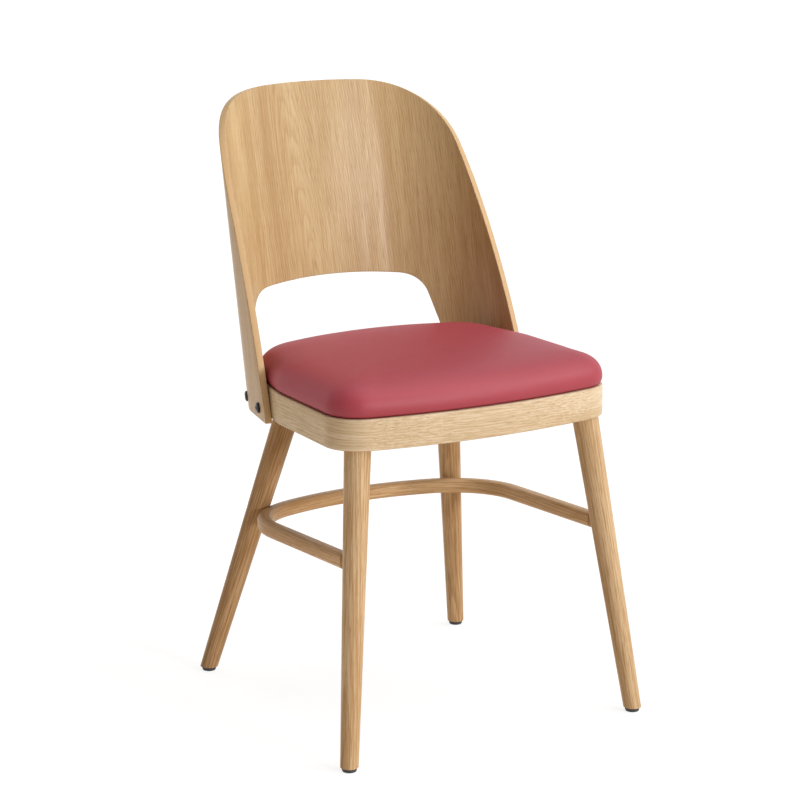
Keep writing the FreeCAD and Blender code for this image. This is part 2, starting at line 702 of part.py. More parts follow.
STRETCHER_TURN = math.asin(BEND_X / (size("stretcher_rear_radius") - size("stretcher_bend_radius")))
STRETCHER_REAR = (BEND_Y + size("stretcher_rear_radius")
                  - (size("stretcher_rear_radius") - size("stretcher_bend_radius"))
                  * math.cos(STRETCHER_TURN))
SCREW_LINE = Vector(BEND_X - LEG_X, BEND_Y - LEG_Y, 0).normalize()


def rounded_square(width, radius):
    """Closed square section with rounded corners about the origin."""
    half = width / 2
    flat = half - radius
    segments = []
    for quarter in range(4):
        turn = quarter * math.pi / 2
        across = (math.cos(turn), math.sin(turn))
        up = (-across[1], across[0])
        low = along(along((0, 0), across, half), up, -flat)
        high = along(along((0, 0), across, half), up, flat)
        centre = along(along((0, 0), across, flat), up, flat)
        segments.append(line(low, high))
        segments.append(arc(centre, radius, turn, turn + math.pi / 2, "stretcher_edge"))
    return segments


def stretcher():
    """Bent stretcher with chamfered ends and a round tenon in each front leg."""
    body = doc.addObject("PartDesign::Body", "stretcher_body")
    bends = turning_path((0, STRETCHER_REAR), [
        (size("stretcher_rear_radius"), STRETCHER_TURN, "stretcher_rear_radius"),
        (size("stretcher_bend_radius"), math.pi / 2, "stretcher_bend_radius"),
    ])
    right = bends + [line(bends[-1][0][2], (RUN_X, RUN_END))]
    path = add_sketch(body, "stretcher_path", "XY_Plane", mirrored(right) + right)
    section = add_sketch(
        body, "stretcher_section", "XZ_Plane",
        rounded_square(size("stretcher_size"), size("stretcher_edge")),
        Placement(Vector(-RUN_X, 0, -RUN_END), Rotation()),
    )
    pipe = body.newObject("PartDesign::AdditivePipe", "stretcher_pipe")
    pipe.Profile = section
    pipe.Spine = (path, ["Edge%d" % (i + 1) for i in range(2 * len(right))])
    doc.recompute()
    ends = []
    for index, edge in enumerate(body.Shape.Edges, start=1):
        if all(abs(vertex.Point.y - RUN_END) < NEAR for vertex in edge.Vertexes):
            ends.append("Edge%d" % index)
    chamfer = body.newObject("PartDesign::Chamfer", "stretcher_ends")
    chamfer.Base = (pipe, ends)
    bind(chamfer, "Size", "<<Sizes>>.stretcher_chamfer")
    doc.recompute()
    circles = body.newObject("Sketcher::SketchObject", "stretcher_tenons")
    support = [item for item in body.Origin.OriginFeatures if item.Role == "XZ_Plane"][0]
    circles.AttachmentSupport = [(support, "")]
    circles.MapMode = "FlatFace"
    circles.AttachmentOffset = Placement(Vector(0, 0, -RUN_END), Rotation())
    for _, side in SIDES:
        circle = Part.Circle(Vector(side * RUN_X, 0, 0), Z_AXIS, size("stretcher_tenon_radius"))
        index = circles.addGeometry(circle, False)
        number = circles.addConstraint(Sketcher.Constraint("Radius", index, circle.Radius))
        circles.renameConstraint(number, "tenon_%d" % index)
        bind(circles, "Constraints.tenon_%d" % index, "<<Sizes>>.stretcher_tenon_radius")
    add_pad(body, "stretcher_tenon", circles, "<<Sizes>>.stretcher_tenon_length")
    body.Placement = STRETCHER_PLACE
    doc.recompute()
    return body


def stretcher_tenon_bore(side):
    """Bore of a front leg for the stretcher's tenon."""
    start = STRETCHER_PLACE.multVec(Vector(side * RUN_X, RUN_END, 0))
    ahead = STRETCHER_PLACE.Rotation.multVec(-Y_AXIS)
    return bar("stretcher_bore", start, ahead, size("stretcher_tenon_length") + size("fit_gap"),
               "<<Sizes>>.stretcher_tenon_radius + <<Sizes>>.fit_gap")


def stretcher_screw_place(side):
    """Place of a stretcher screw: under its head, sunk in the back of a rear leg."""
    head = Vector(LEG_X, LEG_Y, 0) - SCREW_LINE * (LEG_HALF - size("screw_head_height"))
    direction = STRETCHER_PLACE.Rotation.multVec(SCREW_LINE)
    return (flipped(STRETCHER_PLACE.multVec(head), side), flipped(direction, side))


STRETCHER_SCREW_LENGTH = (2 * LEG_HALF - size("screw_head_height")
                          + STRETCHER_HALF - size("stretcher_size") / 2
                          + size("stretcher_screw_bite"))


def screw_bores(name, point, direction, length, sink):
    """Bores of a wood screw: its shank ahead of a point under its head, and its head behind."""
    shank = bar(name + "_shank", point, direction, length,
                "<<Sizes>>.screw_radius + <<Sizes>>.fit_gap")
    head = bar(name + "_head", point, direction * -1, sink,
               "<<Sizes>>.screw_head_radius + <<Sizes>>.fit_gap")
    return [shank, head]


def wood_screw(name, length):
    """Pan-headed wood screw with a blunt tip, its head below the origin and its shank above."""
    radius = size("screw_radius")
    head = size("screw_head_radius")
    thick = size("screw_head_height")
    return turned(name, [
        (0, -thick), (size("screw_head_flat"), -thick), (head, -size("screw_head_rim")), (head, 0),
        (radius, 0), (radius, length - radius), (size("screw_tip_radius"), length), (0, length),
    ], {3: "screw_head_radius"})


# Back: its inner face, sawn to the outline and the opening, then thickened square to itself.

BACK_REACH = SHOULDER_END + size("seat_depth") / 2
BACK_SPARE = 2 * size("back_thickness")
BACK_LOW = ((back_point(BACK_REACH)[1] * math.sin(BACK_TILT) - size("wing_drop"))
            / math.cos(BACK_TILT) - BACK_SPARE)
BACK_HIGH = size("back_height") + BACK_SPARE


def inner_line():
    """Section of the back's inner face, from the front of one wing to the front of the other."""
    quarter = math.pi / 2
    hollow = quarter - angle("back_angle")
    shoulder = arc(SHOULDER_CENTRE, size("shoulder_radius"), hollow, quarter - angle("wing_angle"),
                   "shoulder_radius")
    middle = arc(HOLLOW_CENTRE, size("back_radius"), math.pi - hollow, hollow, "back_radius")
    cheek = line(middle[0][2], shoulder[0][0])
    right = [cheek, shoulder, line(shoulder[0][2], back_point(BACK_REACH))]
    return mirrored(right) + [middle] + right


CROWN = turning_path((0, size("back_height")), [
    (size("top_radius"), angle("top_turn"), "top_radius"),
    (size("top_corner_radius"), angle("top_corner_turn"), "top_corner_radius"),
])
EDGE_START = CROWN[-1][0][2]
EDGE_CENTRE = along(
    EDGE_START, (math.sin(angle("top_corner_turn")), math.cos(angle("top_corner_turn"))),
    -size("wing_edge_radius"),
)


def outline_waste():
    """Waste outside the right half of the back's outline: crown, upper corner and wing edge."""
    radius = size("wing_edge_radius")
    end = math.asin((BACK_LOW - BACK_SPARE - EDGE_CENTRE[1]) / radius)
    edge = arc(EDGE_CENTRE, radius, math.pi / 2 - angle("top_corner_turn"), end, "wing_edge_radius")
    high = BACK_HIGH + BACK_SPARE
    corners = [edge[0][2], (BACK_REACH, edge[0][2][1]), (BACK_REACH, high), (0, high),
               (0, size("back_height"))]
    return CROWN + [edge] + [line(p, q) for p, q in zip(corners, corners[1:])]


def opening_waste():
    """Waste of the right half of the opening, an arch with straight sides and no sill."""
    arch = turning_path((0, size("opening_height")), [
        (size("opening_radius"), angle("opening_turn"), "opening_radius"),
        (size("opening_corner_radius"), angle("opening_side_turn"), "opening_corner_radius"),
    ])
    knee = arch[-1][0][2]
    low = BACK_LOW - BACK_SPARE
    fall = (knee[1] - low) / math.tan(angle("opening_side_turn"))
    corners = [knee, (knee[0] + fall, low), (0, low), (0, size("opening_height"))]
    return arch + [line(p, q) for p, q in zip(corners, corners[1:])]


def sawn(name, segments, side):
    """Prism of a waste outline, on an upright plane that faces along the saw, both ways."""
    turn = Rotation(Z_AXIS, -side * size("cut_angle")).multiply(Rotation(X_AXIS, 90))
    sketch = doc.addObject("Sketcher::SketchObject", name + "_line")
    draw(sketch, sided(segments, side))
    sketch.Placement = BACK_PLACE.multiply(Placement(Vector(), turn))
    waste = doc.addObject("Part::Extrusion", name)
    waste.Base = sketch
    waste.DirMode = "Custom"
    waste.Dir = sketch.Placement.Rotation.multVec(Z_AXIS)
    waste.LengthFwd = BACK_REACH
    waste.LengthRev = BACK_REACH
    waste.Solid = True
    return waste


def back_sheet():
    """Bent sheet with its sawn outline and opening, and wings cut level below the frame."""
    section = doc.addObject("Sketcher::SketchObject", "back_section")
    draw(section, inner_line())
    section.Placement = BACK_PLACE.multiply(Placement(Vector(0, 0, BACK_LOW), Rotation()))
    face = doc.addObject("Part::Extrusion", "back_face")
    face.Base = section
    face.DirMode = "Custom"
    face.Dir = BACK_PLACE.Rotation.multVec(Z_AXIS)
    face.LengthFwd = BACK_HIGH - BACK_LOW
    saws = []
    for name, side in SIDES:
        saws.append(sawn("back_outline_" + name, outline_waste(), side))
        saws.append(sawn("back_opening_" + name, opening_waste(), side))
    for saw in saws:
        face = cut_away(saw.Name + "_cut", face, saw)
    sheet_solid = doc.addObject("Part::Offset", "back_sheet")
    sheet_solid.Source = face
    sheet_solid.Fill = True
    bind(sheet_solid, "Value", "<<Sizes>>.back_thickness")
    below = doc.addObject("Part::Box", "back_below")
    bind(below, "Length", "2 * <<Sizes>>.seat_width")
    bind(below, "Width", "2 * <<Sizes>>.seat_depth")
    bind(below, "Height", "<<Sizes>>.frame_bottom - <<Sizes>>.wing_drop")
    below.Placement.Base = Vector(-size("seat_width"), SEAT_FRONT, 0)
    level = cut_away("back_level", sheet_solid, below)
    doc.recompute()
    return level


def fillet_edges(name, base, edges, radius):
    """Part with some of its edges rounded."""
    fillet = doc.addObject("Part::Fillet", name)
    fillet.Base = base
    fillet.Edges = [(index, radius, radius) for index in edges]
    doc.recompute()
    return fillet


def wing_corners(shape):
    """Edges across the sheet at the lower front corners of the wings, its two foremost ones."""
    foot = FRAME_BOTTOM - size("wing_drop")
    low = [index for index, edge in enumerate(shape.Edges, start=1)
           if all(abs(vertex.Z - foot) < NEAR for vertex in edge.Vertexes)
           and edge.Length < 2 * size("back_thickness")]
    return sorted(low, key=lambda index: shape.Edges[index - 1].CenterOfMass.y)[:2]


def sheet_edges(shape):
    """Edges where the sawn edges of the sheet meet its inner and outer faces."""
    sawn_limit = size("back_thickness") * size("back_height")
    faces = [face for face in shape.Faces if face.Area > sawn_limit]
    names = []
    for index, edge in enumerate(shape.Edges, start=1):
        touching = [face for face in faces if any(edge.isSame(item) for item in face.Edges)]
        if len(touching) == 1:
            names.append(index)
    return names


def whole_back():
    """Bent plywood back with rounded corners and eased edges."""
    level = back_sheet()
    corners = fillet_edges("back_corners", level, wing_corners(level.Shape),
                           size("wing_corner_radius"))
    return fillet_edges("back_eased", corners, sheet_edges(corners.Shape), size("back_edge_round"))


# Bolts of the back, from outside through the wings into threaded inserts in the rails.

BOLT_LEVEL = FRAME_BOTTOM + size("bolt_rise")


def joint_run():
    """Run of the wing beside the rear joint of a side rail, at the bolts' level."""
    start = back_at_level(SHOULDER_END, 0.0, BOLT_LEVEL)
    wing = back_at_level(BACK_REACH, 0.0, BOLT_LEVEL) - start
    ahead = wing.dot(Vector(*REAR_JOINT, BOLT_LEVEL) - start) / wing.dot(wing)
    return SHOULDER_END + ahead * (BACK_REACH - SHOULDER_END)


BOLT_RUNS = {
    "rear": joint_run() - size("rear_bolt_run"),
    "front": joint_run() + size("front_bolt_run"),
}


def bolt_seat(run, side):
    """Point under a bolt's head on the outer face of a wing, and the direction inward."""
    point = back_at_level(run, size("back_thickness"), BOLT_LEVEL)
    return flipped(point, side), flipped(back_normal(run) * -1, side)


BOLT_SEATS = {
    (end, side): bolt_seat(BOLT_RUNS[end], side) for end in BOLT_RUNS for _, side in SIDES
}


def bolt_hole(end, side):
    """Hole of the back for a bolt."""
    point, inward = BOLT_SEATS[end, side]
    return bar("bolt_hole", point - inward * size("bolt_head_height"), inward,
               2 * size("back_thickness") + size("bolt_head_height"),
               "<<Sizes>>.bolt_radius + <<Sizes>>.fit_gap")


def insert_bore(end, side):
    """Bore of a rail for an insert and the tip of its bolt."""
    point, inward = BOLT_SEATS[end, side]
    depth = size("insert_depth") + size("insert_length")
    return bar("insert_bore", point + inward * size("back_thickness"), inward,
               max(depth, size("bolt_length") - size("back_thickness")) + size("fit_gap"),
               "<<Sizes>>.insert_radius + <<Sizes>>.fit_gap")


def bolt_master():
    """Button-headed bolt with a hexagon socket, its shank along Z from under its head."""
    radius = size("bolt_radius")
    head = size("bolt_head_radius")
    thick = size("bolt_head_height")
    edge = size("bolt_head_edge")
    body = turned("bolt", [
        (0, -thick), (head - 2 * edge, -thick), (head, edge - thick), (head, 0), (radius, 0),
        (radius, size("bolt_length")), (0, size("bolt_length")),
    ], {3: "bolt_head_radius"})
    corner = size("socket_width") / math.sqrt(3)
    hexagon = [(corner * math.cos(n * math.pi / 3), corner * math.sin(n * math.pi / 3))
               for n in range(6)]
    sketch = add_sketch(body, "bolt_socket", "XY_Plane", polygon(hexagon),
                        Placement(Vector(0, 0, -thick), Rotation()))
    pocket = body.newObject("PartDesign::Pocket", "bolt_socket_cut")
    pocket.Profile = sketch
    pocket.Reversed = True
    bind(pocket, "Length", "<<Sizes>>.socket_depth")
    doc.recompute()
    return body


def insert_master():
    """Threaded sleeve along Z from its outer end."""
    bore = size("bolt_radius") + size("fit_gap")
    outer = size("insert_radius")
    return turned("insert", [
        (bore, 0), (outer, 0), (outer, size("insert_length")), (bore, size("insert_length")),
    ], {2: "insert_radius"})


# Corner blocks at the inner corners of the frame, each with a plan in the right half.

REAR_RADIAL = (math.cos(REAR_INNER_TURN), math.sin(REAR_INNER_TURN))


def on_inner_arc(distance, inward=0.0):
    """Point of the rear rail's inner edge at a distance from the right joint, and its radial."""
    turn = REAR_INNER_TURN + distance / REAR_INNER_RADIUS
    radial = (math.cos(turn), math.sin(turn))
    return along((0, REAR_Y), radial, REAR_INNER_RADIUS - inward), radial


def front_block_plan():
    """Block between a side rail and the wide end of the front rail."""
    corner = FRONT_JOINT_INNER
    width = size("corner_width") - size("rail_width")
    nose = size("block_nose")
    wide = along(corner, SIDE_NORMAL, -width)
    far = along(corner, SIDE_RUN, size("block_side"))
    return polygon([corner, far, along(far, SIDE_NORMAL, -nose), along(wide, SIDE_RUN, nose), wide])


def rear_block_plan():
    """Block between a side rail and the curved inner edge of the rear rail."""
    corner = REAR_JOINT_INNER
    reach = size("block_rear_side")
    nose = size("block_nose")
    far = along(corner, FLANK_RUN, -reach)
    blunt = along(far, FLANK_NORMAL, -nose)
    end, _ = on_inner_arc(reach)
    end_blunt, _ = on_inner_arc(reach, nose)
    turn = REAR_INNER_TURN + reach / REAR_INNER_RADIUS
    curve = arc((0, REAR_Y), REAR_INNER_RADIUS, REAR_INNER_TURN, turn)
    return [curve, line(end, end_blunt), line(end_blunt, blunt), line(blunt, far), line(far, corner)]


BLOCK_MIDDLE = (FRAME_BOTTOM + size("block_lift") + FRAME_TOP) / 2
SEAT_SCREW_LENGTH = (size("frame_height") - size("block_lift") + size("cover_skin")
                     + size("seat_screw_bite"))


def block_screws(end):
    """Heads and directions of the two screws of a right corner block."""
    bite = size("block_screw_bite")
    place = size("block_screw_place")
    if end == "front":
        on_side = along(FRONT_JOINT_INNER, SIDE_RUN, place)
        on_end = along(FRONT_JOINT_INNER, SIDE_NORMAL, -place)
        ways = [(on_side, SIDE_NORMAL), (on_end, (-SIDE_RUN[0], -SIDE_RUN[1]))]
    else:
        on_side = along(REAR_JOINT_INNER, FLANK_RUN, -place)
        ways = [(on_side, FLANK_NORMAL), on_inner_arc(place)]
    screws = []
    for (foot, way), lift in zip(ways, (1, -1)):
        x, y = along(foot, way, -bite)
        level = BLOCK_MIDDLE + lift * size("block_screw_stagger")
        screws.append((Vector(x, y, level), Vector(way[0], way[1], 0)))
    return screws


def seat_screw_point(end):
    """Point under the head of the seat screw of a right corner block."""
    inset = size("seat_screw_place")
    if end == "front":
        x, y = along(along(FRONT_JOINT_INNER, SIDE_NORMAL, -inset), SIDE_RUN, inset)
    else:
        spread = (FLANK_NORMAL[0] + REAR_RADIAL[0], FLANK_NORMAL[1] + REAR_RADIAL[1])
        length = math.hypot(*spread)
        x, y = along(REAR_JOINT_INNER, (spread[0] / length, spread[1] / length), -inset)
    return Vector(x, y, FRAME_BOTTOM + size("block_lift"))


def block_bores(end, side):
    """Bores of a corner block, and of the rails behind it, for its two screws."""
    bores = []
    for point, way in block_screws(end):
        bores += screw_bores("block_screw", flipped(point, side), flipped(way, side),
                             size("block_screw_length") + size("fit_gap"), size("block_rear_side"))
    return bores


def rail_block_bores(end, side, which):
    """Bore of a rail for one of the two screws of a corner block."""
    point, way = block_screws(end)[which]
    return bar("block_screw_bore", flipped(point, side), flipped(way, side),
               size("block_screw_length") + size("fit_gap"),
               "<<Sizes>>.screw_radius + <<Sizes>>.fit_gap")


# Dowels of the four rail joints.

def joint_dowels(end, side):
    """Start points and the direction of a joint's two dowels, from the side rail outward."""
    if end == "front":
        face, run = FRONT_JOINT, (-SIDE_RUN[0], -SIDE_RUN[1])
        middle = along(face, SIDE_NORMAL, -size("rail_width") / 2)
    else:
        face, run = REAR_JOINT, FLANK_RUN
        middle = along(face, FLANK_NORMAL, -size("rail_width") / 2)
    x, y = along(middle, run, -size("dowel_side_bite"))
    direction = flipped(Vector(run[0], run[1], 0), side)
    levels = (FRAME_BOTTOM + size("dowel_edge"), FRAME_TOP - size("dowel_edge"))
    return [(flipped(Vector(x, y, level), side), direction) for level in levels]


DOWEL_LENGTH = size("dowel_side_bite") + size("dowel_end_bite")


def dowel_bores(end, side):
    """Bores of both rails of a joint for its dowels."""
    gap = size("fit_gap")
    return [bar("dowel_bore", point - direction * gap, direction, DOWEL_LENGTH + 2 * gap,
                "<<Sizes>>.dowel_radius + <<Sizes>>.fit_gap")
            for point, direction in joint_dowels(end, side)]


# Upholstered pad: level rings, each with a height over the frame, an inset and a scale. The side
# draws in below its widest line, rounds over above it, and goes on into a shallow crown.

LOWER_STEPS = 3
UPPER_STEPS = 7
CROWN_STEPS = 4
PAD_HEIGHT = size("pad_belly_rise") + size("pad_edge_rise") + size("pad_crown_rise")


def pad_rings():
    """Height, inset and scale of each ring of the pad, from its foot to the top of its crown."""
    rings = []
    for step in range(LOWER_STEPS):
        turn = math.pi / 2 * (1 - step / LOWER_STEPS)
        rings.append((size("pad_belly_rise") * (1 - math.sin(turn)),
                      size("pad_foot_inset") * (1 - math.cos(turn)), 1.0))
    for step in range(UPPER_STEPS + 1):
        turn = math.pi / 2 * step / UPPER_STEPS
        rings.append((size("pad_belly_rise") + size("pad_edge_rise") * math.sin(turn),
                      size("pad_edge_inset") * (1 - math.cos(turn)), 1.0))
    rim = size("pad_belly_rise") + size("pad_edge_rise")
    for step in range(1, CROWN_STEPS):
        scale = 1 - step / CROWN_STEPS
        rings.append((rim + size("pad_crown_rise") * (1 - scale ** 2) / (1 - CROWN_STEPS ** -2),
                      size("pad_edge_inset"), scale))
    return rings


def pad_form(name, skin):
    """Crowned form of the pad with drawn-in sides, a skin's thickness inside the outer one."""
    body = doc.addObject("PartDesign::Body", name)
    squeeze = (PAD_HEIGHT - 2 * skin) / PAD_HEIGHT
    sketches = []
    for number, (height, inset, scale) in enumerate(pad_rings()):
        ring = outline(inset + skin, size("pad_rear_corner"), scale)
        level = Placement(Vector(0, 0, skin + height * squeeze), Rotation())
        sketches.append(add_sketch(body, "%s_ring_%d" % (name, number), "XY_Plane", ring, level))
    loft = body.newObject("PartDesign::AdditiveLoft", name + "_loft")
    loft.Profile = sketches[0]
    loft.Sections = sketches[1:]
    loft.Ruled = True
    bind(body, "Placement.Base.z", "<<Sizes>>.frame_bottom + <<Sizes>>.frame_height")
    doc.recompute()
    return body


# Staples of the cover's hem: straight runs along a line inside the outline.

def staple_places():
    """Places of the staples, level with the hem's underside, where no rail or block covers them."""
    covered = [item.Shape for item in PIECES if item.Label.endswith(("_rail", "_block"))]
    places = []
    for points, _ in outline(size("staple_inset"), size("pad_rear_corner")):
        corners = [Vector(x, y, FRAME_TOP) for x, y in points]
        curve = Part.LineSegment(*corners) if len(corners) == 2 else Part.Arc(*corners)
        edge = curve.toShape()
        count = int(edge.Length // size("staple_step"))
        for number in range(count):
            at = edge.getParameterByLength(edge.Length * (number + 0.5) / count)
            point = edge.valueAt(at)
            probe = Vector(point.x, point.y, FRAME_TOP - size("staple_wire"))
            clear = Part.Vertex(probe)
            if all(shape.distToShape(clear)[0] > size("staple_crown") for shape in covered):
                places.append(facing(point, Z_AXIS).multiply(
                    Placement(Vector(), Rotation(X_AXIS, edge.tangentAt(at)))))
    return places


def staple_shape(wire, bite):
    """Staple with its crown under the hem and its two legs up into the board."""
    half = size("staple_crown") / 2
    crown = Part.makeBox(2 * half, wire, wire, Vector(-half, -wire / 2, -wire))
    legs = [Part.makeBox(wire, wire, bite + wire, Vector(x, -wire / 2, -wire))
            for x in (-half, half - wire)]
    return crown.multiFuse(legs).removeSplitter()


# Seat frame.
front_blank = front_rail()
rear_blank = rear_rail()
side_blanks = {name: side_rail(name + "_side_rail", side) for name, side in SIDES}

front_bores = []
rear_bores = []
for name, side in SIDES:
    front_bores += dowel_bores("front", side)
    front_bores += [tenon_bore("front", side), rail_block_bores("front", side, 1)]
    rear_bores += dowel_bores("rear", side)
    rear_bores += [tenon_bore("rear", side), insert_bore("rear", side),
                   rail_block_bores("rear", side, 1)]
    side_bores = dowel_bores("front", side) + dowel_bores("rear", side)
    side_bores += [insert_bore("front", side), rail_block_bores("front", side, 0),
                   rail_block_bores("rear", side, 0)]
    drilled(side_blanks[name], name + "_side_rail", side_bores)
drilled(front_blank, "front_rail", front_bores)
drilled(rear_blank, "rear_rail", rear_bores)

# Corner blocks.
for end, block_plan in (("front", front_block_plan()), ("rear", rear_block_plan())):
    for name, side in SIDES:
        label = "%s_%s_corner_block" % (end, name)
        block = prism(label + "_blank", sided(block_plan, side),
                      "<<Sizes>>.frame_bottom + <<Sizes>>.block_lift",
                      "<<Sizes>>.frame_height - <<Sizes>>.block_lift")
        seat_bore = bar(label + "_seat_bore", flipped(seat_screw_point(end), side), Z_AXIS,
                        SEAT_SCREW_LENGTH, "<<Sizes>>.screw_radius + <<Sizes>>.fit_gap")
        drilled(block, label, block_bores(end, side) + [seat_bore])

# Legs, with bores for the glide nails and the stretcher's fixings.
for end in ENDS:
    for name, side in SIDES:
        label = "%s_%s_leg" % (end, name)
        foot = on_leg(end, side, size("glide_height"))
        nail = bar(label + "_nail_bore", foot, Z_AXIS, size("nail_length") + size("fit_gap"),
                   "<<Sizes>>.nail_radius + <<Sizes>>.fit_gap")
        bores = [nail]
        if end == "front":
            bores.append(stretcher_tenon_bore(side))
        else:
            point, way = stretcher_screw_place(side)
            bores += screw_bores(label + "_screw", point, way, STRETCHER_SCREW_LENGTH,
                                 size("leg_top_radius"))
        drilled(leg_blank(label, end, side), label, bores)

# Stretcher.
stretcher_bores = []
for _, side in SIDES:
    point, way = stretcher_screw_place(side)
    stretcher_bores.append(bar("stretcher_screw_bore", point, way,
                               STRETCHER_SCREW_LENGTH + size("fit_gap"),
                               "<<Sizes>>.screw_radius + <<Sizes>>.fit_gap"))
drilled(stretcher(), "stretcher", stretcher_bores)

# Back and its bolts.
drilled(whole_back(), "backrest_shell", [bolt_hole(end, side) for end, side in BOLT_SEATS])
group("backrest_bolts", bolt_master(), [facing(*seat) for seat in BOLT_SEATS.values()])
INSERT_START = size("back_thickness") + size("insert_depth")
group("backrest_inserts", insert_master(),
      [facing(point + inward * INSERT_START, inward) for point, inward in BOLT_SEATS.values()])

# Glides and their nails.
glide_radius = size("glide_radius")
glide_edge = size("glide_edge")
nail_bore = size("nail_radius") + size("fit_gap")
nail_recess = size("nail_head_radius") + size("fit_gap")
glide_master = turned("glide", [
    (nail_recess, 0), (glide_radius - glide_edge, 0),
    (glide_radius - ROUND_MIDDLE * glide_edge, ROUND_MIDDLE * glide_edge), (glide_radius, glide_edge),
    (glide_radius, size("glide_height")), (nail_bore, size("glide_height")),
    (nail_bore, size("nail_recess")), (nail_recess, size("nail_recess")),
], {5: "glide_radius"})
nail_top = size("glide_height") + size("nail_length")
nail_under = size("nail_recess") - size("nail_head_height")
nail_master = turned("nail", [
    (0, nail_under), (size("nail_head_radius"), nail_under),
    (size("nail_head_radius"), size("nail_recess")), (size("nail_radius"), size("nail_recess")),
    (size("nail_radius"), nail_top - 2 * size("nail_radius")), (0, nail_top),
], {2: "nail_head_radius"})
feet = []
for end in ENDS:
    for name, side in SIDES:
        foot = on_leg(end, side, size("glide_height"))
        place = Placement(Vector(foot.x, foot.y, 0), Rotation())
        feet.append(place)
        group("%s_%s_glide" % (end, name), glide_master, [place])
group("glide_nails", nail_master, feet)

# Dowels and screws of the frame.
dowel = doc.addObject("Part::Cylinder", "dowel")
bind(dowel, "Radius", "<<Sizes>>.dowel_radius")
bind(dowel, "Height", "<<Sizes>>.dowel_side_bite + <<Sizes>>.dowel_end_bite")
doc.recompute()
dowel_places = []
screw_places = []
seat_screw_places = []
for end in ENDS:
    for _, side in SIDES:
        dowel_places += [facing(*place) for place in joint_dowels(end, side)]
        screw_places += [facing(flipped(point, side), flipped(way, side))
                         for point, way in block_screws(end)]
        seat_screw_places.append(Placement(flipped(seat_screw_point(end), side), Rotation()))
group("rail_dowels", dowel, dowel_places)
group("corner_block_screws", wood_screw("block_screw", size("block_screw_length")), screw_places)
group("seat_screws", wood_screw("seat_screw", SEAT_SCREW_LENGTH), seat_screw_places)
group("stretcher_screws", wood_screw("leg_screw", STRETCHER_SCREW_LENGTH),
      [facing(*stretcher_screw_place(side)) for _, side in SIDES])

# Pad: board, foam, cover with its hem turned in, and a cloth over the board's underside.
pad_foot = "<<Sizes>>.frame_bottom + <<Sizes>>.frame_height"
board_blank = prism("seat_board_blank", outline(size("board_inset"), size("pad_rear_corner")),
                    pad_foot + " + <<Sizes>>.cover_skin", "<<Sizes>>.board_thickness")
outer_form = pad_form("pad_outer", 0.0)
inner_form = pad_form("pad_inner", size("cover_skin"))
hem_opening = prism("hem_opening", outline(size("hem_width"), size("pad_rear_corner")),
                    pad_foot, "<<Sizes>>.cover_skin")
keep(cut_away("seat_foam", inner_form, board_blank), "seat_foam")
cover_blank = cut_away("cover_blank", cut_away("cover_shell", outer_form, inner_form), hem_opening)
keep(prism("seat_bottom_cloth",
           outline(size("hem_width") + size("fit_gap"), size("pad_rear_corner")),
           pad_foot + " + <<Sizes>>.cover_skin - <<Sizes>>.cloth_thickness",
           "<<Sizes>>.cloth_thickness"), "seat_bottom_cloth")
doc.recompute()

staple_master = doc.addObject("Part::Feature", "staple")
staple_master.Shape = staple_shape(size("staple_wire"), size("staple_bite"))
staples = staple_places()
group("cover_staples", staple_master, staples)
bore_master = doc.addObject("Part::Feature", "staple_bore")
bore_master.Shape = staple_shape(size("staple_wire") + size("fit_gap"),
                                 size("staple_bite") + size("fit_gap"))
staple_bores = doc.addObject("Part::Feature", "staple_bores")
staple_bores.Shape = Part.makeCompound([
    bore_master.Shape.copy().transformGeometry(place.toMatrix()) for place in staples
])
for label, blank in (("seat_board", board_blank), ("seat_cover", cover_blank)):
    bores = [bar(label + "_screw_bore", place.Base, Z_AXIS, SEAT_SCREW_LENGTH,
                 "<<Sizes>>.screw_radius + <<Sizes>>.fit_gap") for place in seat_screw_places]
    drilled(blank, label, bores + [staple_bores])

# Check and write.
doc.recompute()
for item in doc.Objects:
    if "Invalid" in item.State or "Error" in item.State:
        raise RuntimeError("%s failed: %s" % (item.Name, item.State))
for item in PIECES:
    if item.Shape.isNull() or not item.Shape.isValid():
        raise RuntimeError("%s has no valid shape" % item.Label)
os.makedirs("parts", exist_ok=True)
for item in PIECES:
    item.Shape.exportStep("parts/%s.step" % item.Label)
    print("%-24s %2d solids, %.0f mm3" % (item.Label, len(item.Shape.Solids), item.Shape.Volume))
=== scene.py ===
# %% [markdown]
# A dining side chair: oak legs and seat frame, a bent plywood back and a padded leatherette seat.
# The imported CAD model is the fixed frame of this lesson. Its nodes already sit in the right place,
# in metres, so most of the work is to give each surface the finish of the real material. The soft
# pad is remade as upholstery, and the wood screws are made once and repeated.

# %% Load the frame
import math

import bmesh
import bpy
from mathutils import Matrix, Vector
from mathutils.geometry import convex_hull_2d


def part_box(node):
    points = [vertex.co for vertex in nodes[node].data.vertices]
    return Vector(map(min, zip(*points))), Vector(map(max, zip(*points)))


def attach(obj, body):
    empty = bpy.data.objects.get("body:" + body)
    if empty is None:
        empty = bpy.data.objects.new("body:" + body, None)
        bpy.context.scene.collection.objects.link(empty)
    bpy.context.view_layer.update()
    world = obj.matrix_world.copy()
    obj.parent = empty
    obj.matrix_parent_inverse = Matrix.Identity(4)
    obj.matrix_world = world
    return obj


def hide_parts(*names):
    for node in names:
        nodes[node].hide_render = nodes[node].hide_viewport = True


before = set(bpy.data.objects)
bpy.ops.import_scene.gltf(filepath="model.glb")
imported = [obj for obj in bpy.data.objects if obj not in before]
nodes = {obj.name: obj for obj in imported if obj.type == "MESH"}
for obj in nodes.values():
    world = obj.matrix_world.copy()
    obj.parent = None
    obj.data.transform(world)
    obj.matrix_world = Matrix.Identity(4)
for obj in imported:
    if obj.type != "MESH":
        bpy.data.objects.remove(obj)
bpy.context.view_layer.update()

scene = bpy.context.scene
